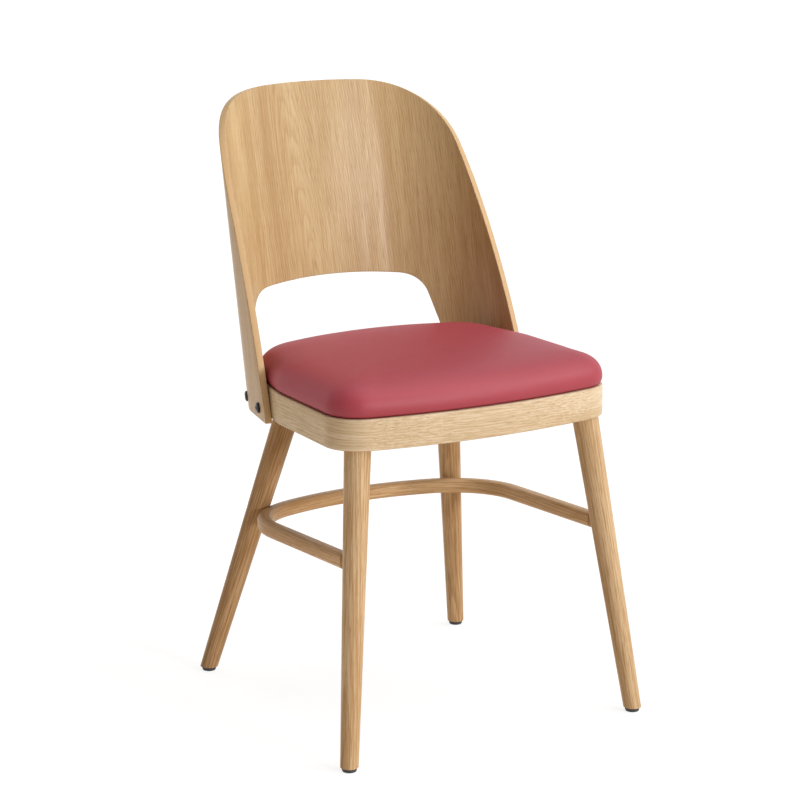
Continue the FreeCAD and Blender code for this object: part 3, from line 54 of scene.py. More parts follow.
print("frame:", len(nodes), "nodes")

# %% [markdown]
# The camera comes first, so that every later step can be judged from the photograph's side. A long
# lens far away keeps the legs nearly parallel, as a catalogue picture does. The camera is placed by
# an azimuth and an elevation about a point inside the chair, and looks straight at that point.

# %% Camera
VIEW_AZIMUTH = math.radians(-30.12)
VIEW_ELEVATION = math.radians(13.574)
VIEW_DISTANCE = 3.3959
VIEW_TARGET = Vector((0.0, 0.00125, 0.39607))
LENS_MM = 115.70
FARTHEST_SEEN = 50.0


def look_from(azimuth, elevation):
    """Direction from the chair to a viewer or a lamp."""
    level = math.cos(elevation)
    return Vector((math.sin(azimuth) * level, -math.cos(azimuth) * level, math.sin(elevation)))


def aim(thing, back):
    """Place a camera or a lamp along a direction from the chair, and turn it to the chair."""
    thing.location = VIEW_TARGET + back * VIEW_DISTANCE
    thing.rotation_euler = back.to_track_quat("Z", "Y").to_euler()


def add_camera():
    """Camera at the photograph's angle."""
    data = bpy.data.cameras.new("camera")
    data.lens = LENS_MM
    data.clip_end = FARTHEST_SEEN
    camera = bpy.data.objects.new("camera", data)
    scene.collection.objects.link(camera)
    aim(camera, look_from(VIEW_AZIMUTH, VIEW_ELEVATION))
    return camera


scene.camera = add_camera()
print("camera at", [round(value, 3) for value in scene.camera.location])

# %% [markdown]
# Materials are built from nodes in code. A few small helpers keep that readable. The first adds any
# node and sets or links its inputs, and the others stand for what comes up again and again:
# arithmetic, a mix of two colours, a noise, and a value spread over a range. The Mix node has a
# set of sockets for each kind of value, so those for colours are named by their number.

# %% Node helpers
MIX_FIRST = 6
MIX_SECOND = 7
MIX_RESULT = 2


def add_node(tree, kind, inputs=None, **properties):
    """New node, with its properties set and its inputs set or linked."""
    made = tree.nodes.new(kind)
    for name, value in properties.items():
        setattr(made, name, value)
    for name, value in (inputs or {}).items():
        if isinstance(value, bpy.types.NodeSocket):
            tree.links.new(value, made.inputs[name])
        else:
            made.inputs[name].default_value = value
    return made


def calculate(tree, operation, *values):
    """Result of a Math node."""
    made = add_node(tree, "ShaderNodeMath", dict(enumerate(values)), operation=operation)
    return made.outputs[0]


def mix_colours(tree, factor, first, second):
    """Result of a colour Mix node."""
    made = add_node(tree, "ShaderNodeMix",
                    {0: factor, MIX_FIRST: first, MIX_SECOND: second}, data_type="RGBA")
    return made.outputs[MIX_RESULT]


def noise(tree, vector, scale, detail=2.0, roughness=0.5):
    """Value of a noise texture, about 0.5 on the average."""
    made = add_node(
        tree, "ShaderNodeTexNoise",
        {"Vector": vector, "Scale": scale, "Detail": detail, "Roughness": roughness},
    )
    return made.outputs["Fac"]


def spread(tree, value, low, high):
    """Value stretched so that low becomes 0 and high becomes 1, held between them."""
    made = add_node(
        tree, "ShaderNodeMapRange",
        {"Value": value, "From Min": low, "From Max": high},
        interpolation_type="SMOOTHSTEP",
    )
    return made.outputs["Result"]


print("node helpers ready")

# %% [markdown]
# Every finish starts from one shader, reads its place on the piece, and sets a colour, a roughness
# and a fine relief. A CAD node whose shape is right only needs such a finish in its material slot.

# %% Finish helpers
def colour(red, green, blue):
    """Opaque colour."""
    return (red, green, blue, 1.0)


def new_material(name):
    """Empty node material, with its tree and shader."""
    material = bpy.data.materials.new(name)
    material.use_nodes = True
    tree = material.node_tree
    tree.nodes.clear()
    shader = tree.nodes.new("ShaderNodeBsdfPrincipled")
    output = tree.nodes.new("ShaderNodeOutputMaterial")
    tree.links.new(shader.outputs["BSDF"], output.inputs["Surface"])
    return material, tree, shader


def object_place(tree):
    """Object coordinates, in metres."""
    return add_node(tree, "ShaderNodeTexCoord").outputs["Object"]


def stored_place(tree, name):
    """Place that an attribute of the mesh holds."""
    return add_node(tree, "ShaderNodeAttribute", attribute_name=name).outputs["Vector"]


def coat(tree, shader, base, rough):
    """Link the colour and the roughness of a finish."""
    tree.links.new(base, shader.inputs["Base Color"])
    tree.links.new(rough, shader.inputs["Roughness"])


def relief(tree, shader, height, strength, depth):
    """Fine relief of a finish, as a bump."""
    bump = add_node(tree, "ShaderNodeBump",
                    {"Height": height, "Strength": strength, "Distance": depth})
    tree.links.new(bump.outputs["Normal"], shader.inputs["Normal"])


def dress(names, material):
    """Give a finish to some CAD nodes."""
    for name in names:
        nodes[name].data.materials.clear()
        nodes[name].data.materials.append(material)


print("finish helpers ready")

# %% [markdown]
# Oak shows three things at arm's length: broad light and dark streaks, growth rings, and pores, the
# short dark dashes that run along the grain and crowd together where a ring starts. All three are
# drawn from one set of coordinates whose Z runs along the grain. On a straight leg or rail these
# are the Object coordinates, turned by a Mapping node. On a bent piece they come from an attribute
# that follows the bend. The rings are circles round the heart of the tree, and a cut that climbs
# away from the heart shows them as nested arches.

# %% Growth rings
RING_STEP = 0.0036
RING_START = 0.15
RING_WANDER = 0.012
WANDER_WIDTH = 0.05
WANDER_LENGTH = 0.4
RING_RIPPLE = 0.004
RIPPLE_WIDTH = 0.011
RIPPLE_LENGTH = 0.12


def grain_noise(tree, vector, width, length, detail=2.0, roughness=0.5):
    """Noise whose spots have a width across the grain and a length along it."""
    scaled = add_node(
        tree, "ShaderNodeVectorMath",
        {0: vector, 1: (1 / width, 1 / width, 1 / length)}, operation="MULTIPLY",
    )
    return noise(tree, scaled.outputs[0], 1.0, detail, roughness)


def ring_lines(tree, vector, heart, lean, climb):
    """Growth rings round the heart of the tree, as a wave from 0 to 1 with sharp dark starts."""
    parts = add_node(tree, "ShaderNodeSeparateXYZ", {0: vector}).outputs
    across = calculate(tree, "SUBTRACT", parts["X"], heart[0])
    across = calculate(tree, "MULTIPLY_ADD", parts["Z"], lean, across)
    depth = calculate(tree, "MULTIPLY_ADD", parts["Z"], climb, heart[1])
    depth = calculate(tree, "ADD", depth, parts["Y"])
    squares = calculate(tree, "MULTIPLY_ADD", across, across,
                        calculate(tree, "MULTIPLY", depth, depth))
    radius = calculate(tree, "SQRT", squares)
    wander = grain_noise(tree, vector, WANDER_WIDTH, WANDER_LENGTH)
    ripple = grain_noise(tree, vector, RIPPLE_WIDTH, RIPPLE_LENGTH)
    radius = calculate(tree, "MULTIPLY_ADD", wander, RING_WANDER, radius)
    radius = calculate(tree, "MULTIPLY_ADD", ripple, RING_RIPPLE, radius)
    age = calculate(tree, "FRACT", calculate(tree, "MULTIPLY", radius, 1 / RING_STEP))
    early = calculate(tree, "SUBTRACT", 1.0, age)
    rise = spread(tree, age, 0.0, RING_START)
    return calculate(tree, "MULTIPLY", calculate(tree, "MULTIPLY", early, early), rise)


print("rings every %.1f mm" % (1000 * RING_STEP))

# %% [markdown]
# The colour is a mix of a pale and a deep tone of the same wood. Broad bands and fine streaks set
# the mix, and the rings and short strokes darken it. The pores are laid over it in a darker brown.
# Noise that is stretched along the grain makes all of these, each at its own width and length.

# %% Colour of oak
OAK_PORE = colour(0.22, 0.115, 0.048)
BAND_WIDTH = 0.03
BAND_LENGTH = 0.5
BAND_SHARE = 0.45
STREAK_WIDTH = 0.0015
STREAK_LENGTH = 0.125
STREAK_DETAIL = 4.0
STREAK_BREAKUP = 0.65
TONE_RANGE = (0.33, 0.67)
LINE_WIDTH = 0.0011
LINE_LENGTH = 0.045
LINE_RANGE = (0.45, 0.72)
COLOUR_RANGE = (-0.2, 1.5)
PORE_WIDTH = 0.0005
PORE_LENGTH = 0.014
PORE_DETAIL = 1.0
PORE_CROWDING = 0.10
PORE_RANGE = (0.60, 0.78)
PORE_SHADE = 0.45


def oak_colour(tree, vector, heart, lean, climb, figure, lines, tones):
    """Colour of oak, and its pores and streaks, from coordinates with Z along the grain."""
    bands = grain_noise(tree, vector, BAND_WIDTH, BAND_LENGTH)
    streaks = grain_noise(tree, vector, STREAK_WIDTH, STREAK_LENGTH, STREAK_DETAIL, STREAK_BREAKUP)
    tone = calculate(tree, "MULTIPLY_ADD", bands, BAND_SHARE,
                     calculate(tree, "MULTIPLY", streaks, 1 - BAND_SHARE))
    tone = spread(tree, tone, *TONE_RANGE)
    rings = ring_lines(tree, vector, heart, lean, climb)
    strength = calculate(tree, "MULTIPLY", bands, 2 * figure)
    tone = calculate(tree, "MULTIPLY_ADD", rings, strength, tone)
    strokes = grain_noise(tree, vector, LINE_WIDTH, LINE_LENGTH)
    tone = calculate(tree, "MULTIPLY_ADD", spread(tree, strokes, *LINE_RANGE), lines, tone)
    base = mix_colours(tree, spread(tree, tone, *COLOUR_RANGE), *tones)
    pores = grain_noise(tree, vector, PORE_WIDTH, PORE_LENGTH, PORE_DETAIL)
    pores = calculate(tree, "MULTIPLY_ADD", rings, PORE_CROWDING, pores)
    pores = spread(tree, pores, *PORE_RANGE)
    base = mix_colours(tree, calculate(tree, "MULTIPLY", pores, PORE_SHADE), base, OAK_PORE)
    return base, pores, streaks


print("pores %.1f mm long" % (1000 * PORE_LENGTH))

# %% [markdown]
# Satin lacquer lets the open pores show. So the roughness and the relief come from the same streaks
# and pores as the colour, and the sheen breaks up where the wood does.

# %% Lacquered oak
OAK_GLOSS = 0.07
LACQUER_ROUGHNESS = 0.28
STREAK_ROUGHNESS = 0.10
PORE_ROUGHNESS = 0.15
STREAK_HEIGHT = 0.4
OAK_RELIEF = 0.15
OAK_RELIEF_DEPTH = 0.0002
LOG_HEART = (0.05, 0.08)
LOG_LEAN = 0.02
LOG_CLIMB = 0.03


def lacquer(tree, shader, base, pores, streaks, gloss):
    """Satin lacquer over the colour, a little rougher and lower in the pores."""
    rough = calculate(tree, "MULTIPLY_ADD", streaks, STREAK_ROUGHNESS, LACQUER_ROUGHNESS)
    rough = calculate(tree, "MULTIPLY_ADD", pores, PORE_ROUGHNESS, rough)
    coat(tree, shader, base, rough)
    shader.inputs["Specular IOR Level"].default_value = gloss
    height = calculate(tree, "MULTIPLY_ADD", pores, -1.0,
                       calculate(tree, "MULTIPLY", streaks, STREAK_HEIGHT))
    relief(tree, shader, height, OAK_RELIEF, OAK_RELIEF_DEPTH)


def solid_oak(tree, shader, vector, tones, figure, lines):
    """Lacquered oak, from coordinates with Z along the grain."""
    base, pores, streaks = oak_colour(
        tree, vector, heart=LOG_HEART, lean=LOG_LEAN, climb=LOG_CLIMB,
        figure=figure, lines=lines, tones=tones,
    )
    lacquer(tree, shader, base, pores, streaks, OAK_GLOSS)


def straight_oak(name, grain, place, tones, figure, lines):
    """Oak with its grain along a direction, cut from its own place in the log."""
    material, tree, shader = new_material(name)
    turn = Vector(grain).rotation_difference(Vector((0, 0, 1))).to_euler()
    mapping = add_node(tree, "ShaderNodeMapping",
                       {"Vector": object_place(tree), "Rotation": turn, "Location": place})
    solid_oak(tree, shader, mapping.outputs["Vector"], tones, figure, lines)
    return material


def bent_oak(name, attribute, tones, figure, lines):
    """Oak whose grain follows a bent piece, by the attribute that holds its places."""
    material, tree, shader = new_material(name)
    solid_oak(tree, shader, stored_place(tree, attribute), tones, figure, lines)
    return material


print("oak finish ready")

# %% [markdown]
# On a bent piece straight coordinates would cut across the bend. Such a piece is a copy of the CAD
# node, with its loose triangles joined and its sharp edges marked, and each point stores its place
# on the unbent wood as an attribute that the material reads.

# %% Copies that carry the grain
SHARP_ANGLE = math.radians(30)
WELD_DISTANCE = 1e-6


def welded(mesh):
    """Editable form of a mesh, with its loose triangles joined."""
    shape = bmesh.new()
    shape.from_mesh(mesh)
    bmesh.ops.remove_doubles(shape, verts=shape.verts, dist=WELD_DISTANCE)
    return shape


def merged_copy(node, name):
    """Copy of a CAD node as a new object, with its loose triangles joined."""
    mesh = nodes[node].data.copy()
    mesh.name = name
    shape = welded(mesh)
    shape.to_mesh(mesh)
    shape.free()
    kept_normals = mesh.attributes.get("custom_normal")
    if kept_normals:
        mesh.attributes.remove(kept_normals)
    mesh.shade_smooth()
    mesh.set_sharp_from_angle(angle=SHARP_ANGLE)
    mesh.materials.clear()
    piece = bpy.data.objects.new(name, mesh)
    scene.collection.objects.link(piece)
    return piece


def add_places(piece, name, place):
    """Store a place on the unbent piece at each point, as a vector attribute."""
    attribute = piece.data.attributes.new(name, "FLOAT_VECTOR", "POINT")
    for vertex, item in zip(piece.data.vertices, attribute.data):
        item.vector = place(vertex.co)


def stand_for(piece, slot, *replaced):
    """Put a piece on the chair's one body, for the CAD nodes that it replaces, which are hidden. The
    slot is not used.
    """
    if replaced:
        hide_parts(*replaced)
    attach(piece, "root")


print("copies ready")

# %% [markdown]
# The front rail turns round both corners of the seat, so its grain is unrolled round the corners:
# each point stores its height, its depth and its run along the rail.

# %% Front rail
RAIL_FINISH = {
    "tones": (colour(0.71, 0.59, 0.43), colour(0.50, 0.36, 0.21)),
    "figure": 0.4,
    "lines": 0.7,
}
CORNER_RADIUS = 0.047
CORNER_SETBACK = 0.0618

rail_low, rail_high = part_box("front_rail")
corner_x = rail_high.x - CORNER_RADIUS
corner_y = rail_low.y + CORNER_SETBACK


def rail_place(point):
    """Height, depth and run of a point of the front rail, unrolled round its corners."""
    side = math.copysign(1.0, point.x)
    past = abs(point.x) - corner_x
    ahead = corner_y - point.y
    if past <= 0:
        return (point.z, CORNER_RADIUS - ahead, point.x)
    run = corner_x + CORNER_RADIUS * math.atan2(past, ahead)
    return (point.z, CORNER_RADIUS - math.hypot(past, ahead), side * run)


bowed_rail = merged_copy("front_rail", "bowed_rail")
add_places(bowed_rail, "rail", rail_place)
bowed_rail.data.materials.append(bent_oak("oak_front_rail", "rail", **RAIL_FINISH))
stand_for(bowed_rail, "oak", "front_rail")
print("bowed_rail:", len(bowed_rail.data.vertices), "points")

# %% [markdown]
# The other rails and the legs are straight. A rail's grain runs along the side that it lies on, and
# a leg's runs from the middle of its foot to the middle of its top, which are read from the frame.
# Each piece comes from its own place in a log, so no two show the same figure. The rear legs and the
# front right leg are darker and deeper in tone than the front left one: this is painted shade, for
# the legs that stand more in shade.

# %% Other rails, corner blocks and legs
# Painted shade: the rear legs and the front right leg get darker, deeper tones than the front left.
LEG_TONES_AND_PAINTED_SHADE = {
    "front_left": (colour(0.67, 0.505, 0.325), colour(0.415, 0.25, 0.115)),
    "front_right": (colour(0.62, 0.455, 0.28), colour(0.38, 0.225, 0.10)),
    "rear_left": (colour(0.56, 0.375, 0.21), colour(0.31, 0.17, 0.07)),
    "rear_right": (colour(0.59, 0.405, 0.23), colour(0.325, 0.182, 0.077)),
}
LEG_FIGURE = 0.6
LEG_LINES = 0.85
LEG_PLACES = {
    "front_left": (0.0, 0.0, 0.53),
    "front_right": (0.37, 0.0, 0.53),
    "rear_left": (0.0, 0.21, 0.53),
    "rear_right": (0.37, 0.21, 0.53),
}
REAR_RAIL_PLACE = (0.9, 0.5, 0.7)
SIDE_RAIL_PLACES = {"left": (0.0, 0.7, 0.4), "right": (0.3, 0.7, 0.4)}
LEG_SLICE = 0.1


def leg_grain(name):
    """Direction of a leg from its foot to its top."""
    points = [vertex.co for vertex in nodes[name].data.vertices]
    low = min(point.z for point in points)
    high = max(point.z for point in points)
    slice_height = LEG_SLICE * (high - low)
    feet = [point for point in points if point.z < low + slice_height]
    tops = [point for point in points if point.z > high - slice_height]
    foot = sum(feet, Vector()) / len(feet)
    top = sum(tops, Vector()) / len(tops)
    return (top - foot).normalized()


def dress_frame_wood():
    """Oak on the other rails, the corner blocks and the legs."""
    dress(["rear_rail"],
          straight_oak("oak_rear_rail", (1, 0, 0), REAR_RAIL_PLACE, **RAIL_FINISH))
    for side, place in SIDE_RAIL_PLACES.items():
        dress([side + "_side_rail"],
              straight_oak("oak_side_rail_" + side, (0, 1, 0), place, **RAIL_FINISH))
    for corner, place in LEG_PLACES.items():
        leg = corner + "_leg"
        grain = leg_grain(leg)
        dress([leg],
              straight_oak("oak_" + leg, grain, place, LEG_TONES_AND_PAINTED_SHADE[corner], LEG_FIGURE, LEG_LINES))
        block = corner + "_corner_block"
        dress([block], straight_oak("oak_" + block, (1, 0, 0), place, **RAIL_FINISH))
        print(leg, [round(value, 3) for value in grain])


dress_frame_wood()

# %% [markdown]
# The back is one bent sheet of plywood faced with oak, and its veneer runs up the sheet. On the
# curved shoulders straight coordinates would squeeze the figure, so each point gets its place on
# the flat sheet: the run from the middle, the depth below the inner face, and the height. The depth
# also tells the sawn edge from the faces, so the plies can show there.

# %% Bent back
BACK_TILT = math.radians(12.337)
BACK_SETBACK = 0.0298
BACK_THICKNESS = 0.009
HOLLOW_RADIUS = 0.4711
HOLLOW_TURN = math.radians(6.5)
CHEEK = 0.031
SHOULDER_RADIUS = 0.1098
WING_TURN = math.radians(78.25)
SHOULDER_TURN = WING_TURN - HOLLOW_TURN

rear_low, rear_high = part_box("rear_rail")
back_origin = Vector((0.0, rear_high.y + BACK_SETBACK, rear_low.z))
to_sheet = Matrix.Rotation(BACK_TILT, 3, "X")


def past_bend(x, y, radius, turn):
    """Distance past the end of a bend about the origin, and height above its circle's end."""
    return (x * math.cos(turn) - y * math.sin(turn),
            x * math.sin(turn) + y * math.cos(turn) - radius)


def sheet_place(point):
    """Run, depth and height of a point on the flat sheet."""
    x, y, height = to_sheet @ (point - back_origin)
    side = math.copysign(1.0, x)
    x = abs(x)
    y += HOLLOW_RADIUS
    turn = math.atan2(x, y)
    if turn <= HOLLOW_TURN:
        return (side * HOLLOW_RADIUS * turn, math.hypot(x, y) - HOLLOW_RADIUS, height)
    run = HOLLOW_RADIUS * HOLLOW_TURN
    x, y = past_bend(x, y, HOLLOW_RADIUS, HOLLOW_TURN)
    if x <= CHEEK:
        return (side * (run + x), y, height)
    run += CHEEK
    x -= CHEEK
    y += SHOULDER_RADIUS
    turn = math.atan2(x, y)
    if turn <= SHOULDER_TURN:
        return (side * (run + SHOULDER_RADIUS * turn), math.hypot(x, y) - SHOULDER_RADIUS, height)
    run += SHOULDER_RADIUS * SHOULDER_TURN
    x, y = past_bend(x, y, SHOULDER_RADIUS, SHOULDER_TURN)
    return (side * (run + x), y, height)


back_shell = merged_copy("backrest_shell", "back_shell")
add_places(back_shell, "sheet", sheet_place)
print("back_shell:", len(back_shell.data.vertices), "points")

# %% [markdown]
# Veneer is cut from the log in thin slices, and where the cut grazes the rings they show as nested
# arches. Here the arches stand left of the middle. The sawn edge is mixed in by the depth: pale
# plies with thin darker glue lines, eased where the faces start.

# %% Veneer and plies
ARCH_RUN = -0.008
ARCH_LEAN = 0.10
ARCH_FOOT = 0.06
ARCH_CLIMB = 0.09
VENEER_FIGURE = 0.5
VENEER_LINES = 0.75
VENEER_GLOSS = 0.18
VENEER_TONES = (colour(0.57, 0.42, 0.235), colour(0.40, 0.25, 0.112))
FACE_VENEER = 0.0006
PLY_STEP = 0.0014
PLY_PALE = colour(0.57, 0.385, 0.205)
PLY_DEEP = colour(0.42, 0.24, 0.11)
GLUE_RANGE = (0.2, 1.0)
GLUE_LEAST = 0.2
GLUE_VARIATION = 0.5


def ply_colour(tree, depth, streaks):
    """Colour of the sawn edge: plies with darker glue lines."""
    wave = calculate(tree, "SINE", calculate(tree, "MULTIPLY", depth, 2 * math.pi / PLY_STEP))
    shade = calculate(tree, "MULTIPLY_ADD", streaks, GLUE_VARIATION, GLUE_LEAST)
    glue = calculate(tree, "MULTIPLY", spread(tree, wave, *GLUE_RANGE), shade)
    return mix_colours(tree, glue, PLY_PALE, PLY_DEEP)


def veneer():
    """Oak veneer on both faces of the sheet, and plies on its edge."""
    material, tree, shader = new_material("oak_veneer")
    place = stored_place(tree, "sheet")
    base, pores, streaks = oak_colour(
        tree, place, heart=(ARCH_RUN, -ARCH_CLIMB * ARCH_FOOT), lean=ARCH_LEAN, climb=ARCH_CLIMB,
        figure=VENEER_FIGURE, lines=VENEER_LINES, tones=VENEER_TONES,
    )
    depth = add_node(tree, "ShaderNodeSeparateXYZ", {0: place}).outputs["Y"]
    inside = spread(tree, depth, FACE_VENEER, 2 * FACE_VENEER)
    outside = spread(tree, depth, BACK_THICKNESS - FACE_VENEER, BACK_THICKNESS - 2 * FACE_VENEER)
    edge = calculate(tree, "MULTIPLY", inside, outside)
    base = mix_colours(tree, edge, base, ply_colour(tree, depth, streaks))
    lacquer(tree, shader, base, pores, streaks, VENEER_GLOSS)
    return material


back_shell.data.materials.append(veneer())
stand_for(back_shell, "oak_plywood", "backrest_shell")
print("veneer on", back_shell.name)

# %% [markdown]
# The stretcher is steam-bent from one square stick, so its grain follows the U. It gets the same
# kind of attribute as the back: across, up and along the unbent stick. Its bends are found from the
# CAD node's box and the two radii of the bend.

# %% Stretcher
STRETCHER_TONES = (colour(0.67, 0.465, 0.265), colour(0.41, 0.235, 0.105))
STRETCHER_HALF = 0.0098
STRETCHER_TILT = math.radians(3.03)
STRETCHER_HEIGHT = 0.2421
REAR_RADIUS = 0.342
BEND_RADIUS = 0.1068

stick_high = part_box("stretcher")[1]
to_stick = Matrix.Rotation(STRETCHER_TILT, 3, "X")
stick_origin = Vector((0.0, 0.0, STRETCHER_HEIGHT))
rear_middle = stick_high.y / math.cos(STRETCHER_TILT) - STRETCHER_HALF
rear_centre = rear_middle - REAR_RADIUS
bend_x = stick_high.x - STRETCHER_HALF - BEND_RADIUS
bend_reach = REAR_RADIUS - BEND_RADIUS
bend_y = rear_centre + math.sqrt(bend_reach ** 2 - bend_x ** 2)
rear_turn = math.asin(bend_x / bend_reach)


def stick_place(point):
    """Across, up and along the unbent stretcher."""
    x, y, up = to_stick @ (point - stick_origin)
    side = math.copysign(1.0, x)
    x = abs(x)
    turn = math.atan2(x, y - rear_centre)
    if turn <= rear_turn:
        return (math.hypot(x, y - rear_centre) - REAR_RADIUS, up, side * REAR_RADIUS * turn)
    along = REAR_RADIUS * rear_turn
    if y >= bend_y:
        turn = math.atan2(x - bend_x, y - bend_y)
        along += BEND_RADIUS * (turn - rear_turn)
        return (math.hypot(x - bend_x, y - bend_y) - BEND_RADIUS, up, side * along)
    along += BEND_RADIUS * (math.pi / 2 - rear_turn) + bend_y - y
    return (x - bend_x - BEND_RADIUS, up, side * along)


stick = merged_copy("stretcher", "bent_stretcher")
add_places(stick, "stick", stick_place)
stick.data.materials.append(
    bent_oak("oak_stretcher", "stick", STRETCHER_TONES, LEG_FIGURE, LEG_LINES))
stand_for(stick, "oak", "stretcher")
print("bent_stretcher:", len(stick.data.vertices), "points")

# %% [markdown]
# The pad is foam under a leatherette cover that is pulled tight and stapled under the board. A
# block with rounded edges would look like plastic. The form is drawn as rings round the outline of
# the CAD pad: drawn in at the foot, widest a little above the frame, and then one smooth swell up
# to a low crown.

# %% Outline of the cushion
OUTLINE_POINTS = 144

pad_low, pad_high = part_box("seat_cover")
pad_middle = (pad_low + pad_high) / 2


def pad_outline():
    """Even points round the widest outline of the CAD pad, with the outward direction at each."""
    flat = [Vector((vertex.co.x, vertex.co.y)) for vertex in nodes["seat_cover"].data.vertices]
    hull = [flat[index] for index in convex_hull_2d(flat)]
    ends = list(zip(hull, hull[1:] + hull[:1]))
    step = sum((b - a).length for a, b in ends) / OUTLINE_POINTS
    points = []
    left = 0.0
    for a, b in ends:
        while left < (b - a).length and len(points) < OUTLINE_POINTS:
            points.append(a + (b - a).normalized() * left)
            left += step
        left -= (b - a).length
    directions = []
    for index in range(OUTLINE_POINTS):
        run = points[(index + 2) % OUTLINE_POINTS] - points[index - 2]
        directions.append(Vector((run.y, -run.x)).normalized())
    return points, directions


pad_edge, pad_outward = pad_outline()
print("pad outline:", len(pad_edge), "points")

# %% [markdown]
# Each ring lies at a height and a distance in from the outline. Near the edge the height follows a
# steep roll, and further in a low crown, as foam does under a tight cover. Towards the middle the
# rings shrink instead of moving in, so that they never cross.

# %% Rings of the cushion
FOOT_INSET = 0.006
BELLY_HEIGHT = 0.011
BELLY_RINGS = 5
ROLL_INSETS = (0.0006, 0.0025, 0.0055, 0.010, 0.016, 0.024, 0.034)
CROWN_SCALES = (0.93, 0.84, 0.73, 0.61, 0.48, 0.35, 0.22, 0.10)
SWELL_SHARPNESS = 9.8
CROWN_SHARE = 0.06

pad_reach = pad_high.x - pad_middle.x


def swell_height(inset):
    """Height of the pad above its foot at a distance in from its outline."""
    share = min(inset / pad_reach, 1.0)
    roll = math.sqrt(1 - (1 - share) ** SWELL_SHARPNESS)
    crown = 1 - (1 - share) ** 2
    rise = pad_high.z - pad_low.z - BELLY_HEIGHT
    return BELLY_HEIGHT + rise * ((1 - CROWN_SHARE) * roll + CROWN_SHARE * crown)


def pad_levels():
    """Inset, height and scale of each ring, from the foot of the pad to its crown."""
    levels = []
    for number in range(BELLY_RINGS):
        turn = math.pi / 2 * (1 - number / BELLY_RINGS)
        levels.append((FOOT_INSET * (1 - math.cos(turn)), BELLY_HEIGHT * (1 - math.sin(turn)), 1.0))
    levels.append((0.0, BELLY_HEIGHT, 1.0))
    levels += [(inset, swell_height(inset), 1.0) for inset in ROLL_INSETS]
    last = ROLL_INSETS[-1]
    for scale in CROWN_SCALES:
        levels.append((last, swell_height(last + (1 - scale) * (pad_reach - last)), scale))
    return levels


print("cushion of", len(pad_levels()), "rings")

# %% Form of the cushion
HEM_THICKNESS = 0.0012


def pad_rings():
    """Rings of points from the foot of the pad to its crown."""
    middle = Vector((pad_middle.x, pad_middle.y))
    rings = []
    for inset, height, scale in pad_levels():
        flat = [middle + (point - away * inset - middle) * scale
                for point, away in zip(pad_edge, pad_outward)]
        level = max(pad_low.z + height, pad_low.z + HEM_THICKNESS)
        rings.append([(point.x, point.y, level) for point in flat])
    return rings


def pad_form():
    """Closed form of the pad, from its rings."""
    rings = pad_rings()
    count = OUTLINE_POINTS
    corners = [corner for ring in rings for corner in ring]
    faces = [tuple(reversed(range(count))), tuple(range(len(corners) - count, len(corners)))]
    for ring in range(len(rings) - 1):
        for index in range(count):
            after = (index + 1) % count
            faces.append((ring * count + index, ring * count + after,
                          (ring + 1) * count + after, (ring + 1) * count + index))
    mesh = bpy.data.meshes.new("seat_cushion")
    mesh.from_pydata(corners, [], faces)
    piece = bpy.data.objects.new("seat_cushion", mesh)
    scene.collection.objects.link(piece)
    return piece


cushion = pad_form()
print("cushion form:", len(cushion.data.polygons), "faces")

# %% [markdown]
# The cover is then simulated: it is blown up as cloth by a gentle pressure while its foot is held.
# All points keep the same share of their movement, which leaves the cover taut, with no kinks, and
# the pad in the space of the CAD solid.

# %% Swell of the cover
SWELL_FRAMES = 20
SWELL_PRESSURE = 4.0
MOST_MOVE = 0.0012


def settle(piece):
    """Apply the modifiers of an object."""
    graph = bpy.context.evaluated_depsgraph_get()
    mesh = bpy.data.meshes.new_from_object(piece.evaluated_get(graph))
    piece.modifiers.clear()
    piece.data = mesh


def swell(piece):
    """Blow the cover up as cloth with its foot held, and keep an even share of the movement."""
    start = [vertex.co.copy() for vertex in piece.data.vertices]
    held = piece.vertex_groups.new(name="held")
    held.add(range(OUTLINE_POINTS), 1.0, "REPLACE")
    cloth = piece.modifiers.new("cover", "CLOTH")
    cloth.settings.vertex_group_mass = held.name
    cloth.settings.use_pressure = True
    cloth.settings.uniform_pressure_force = SWELL_PRESSURE
    cloth.settings.effector_weights.gravity = 0.0
    cloth.point_cache.frame_end = SWELL_FRAMES
    for number in range(1, SWELL_FRAMES + 1):
        scene.frame_set(number)
    settle(piece)
    piece.vertex_groups.clear()
    moves = [vertex.co - before for vertex, before in zip(piece.data.vertices, start)]
    most = max(move.length for move in moves)
    share = min(1.0, MOST_MOVE / most)
    for vertex, before, move in zip(piece.data.vertices, start, moves):
        vertex.co = before + move * share
    scene.frame_set(1)
    print("cover moved up to %.1f mm, of which %.0f%% is kept" % (1000 * most, 100 * share))


swell(cushion)
smooth = cushion.modifiers.new("smooth", "SUBSURF")
smooth.levels = 1
smooth.render_levels = 1
settle(cushion)
cushion.data.shade_smooth()
print("seat_cushion:", len(cushion.data.polygons), "faces")

# %% [markdown]
# Under the pad the cover is turned in over the board. This hem shows from below, through the open
# frame. It is the lowest slice of the CAD cover, cut off level a hair above the hem and closed again.

# %% Hem of the cover
HEM_CUT = 1.02 * HEM_THICKNESS


def hem_of_cover():
    """Turned-in hem of the cover, as a flat ring."""
    piece = merged_copy("seat_cover", "cover_hem")
    shape = bmesh.new()
    shape.from_mesh(piece.data)
    cut = bmesh.ops.bisect_plane(
        shape, geom=shape.verts[:] + shape.edges[:] + shape.faces[:],
        plane_co=Vector((0.0, 0.0, pad_low.z + HEM_CUT)), plane_no=Vector((0, 0, 1)),
        clear_outer=True,
    )
    rim = [item for item in cut["geom_cut"] if isinstance(item, bmesh.types.BMEdge)]
    bmesh.ops.triangle_fill(shape, edges=rim, use_beauty=True)
    bmesh.ops.recalc_face_normals(shape, faces=shape.faces)
    shape.to_mesh(piece.data)
    shape.free()
    return piece


hem = hem_of_cover()
print("cover_hem:", len(hem.data.polygons), "faces")
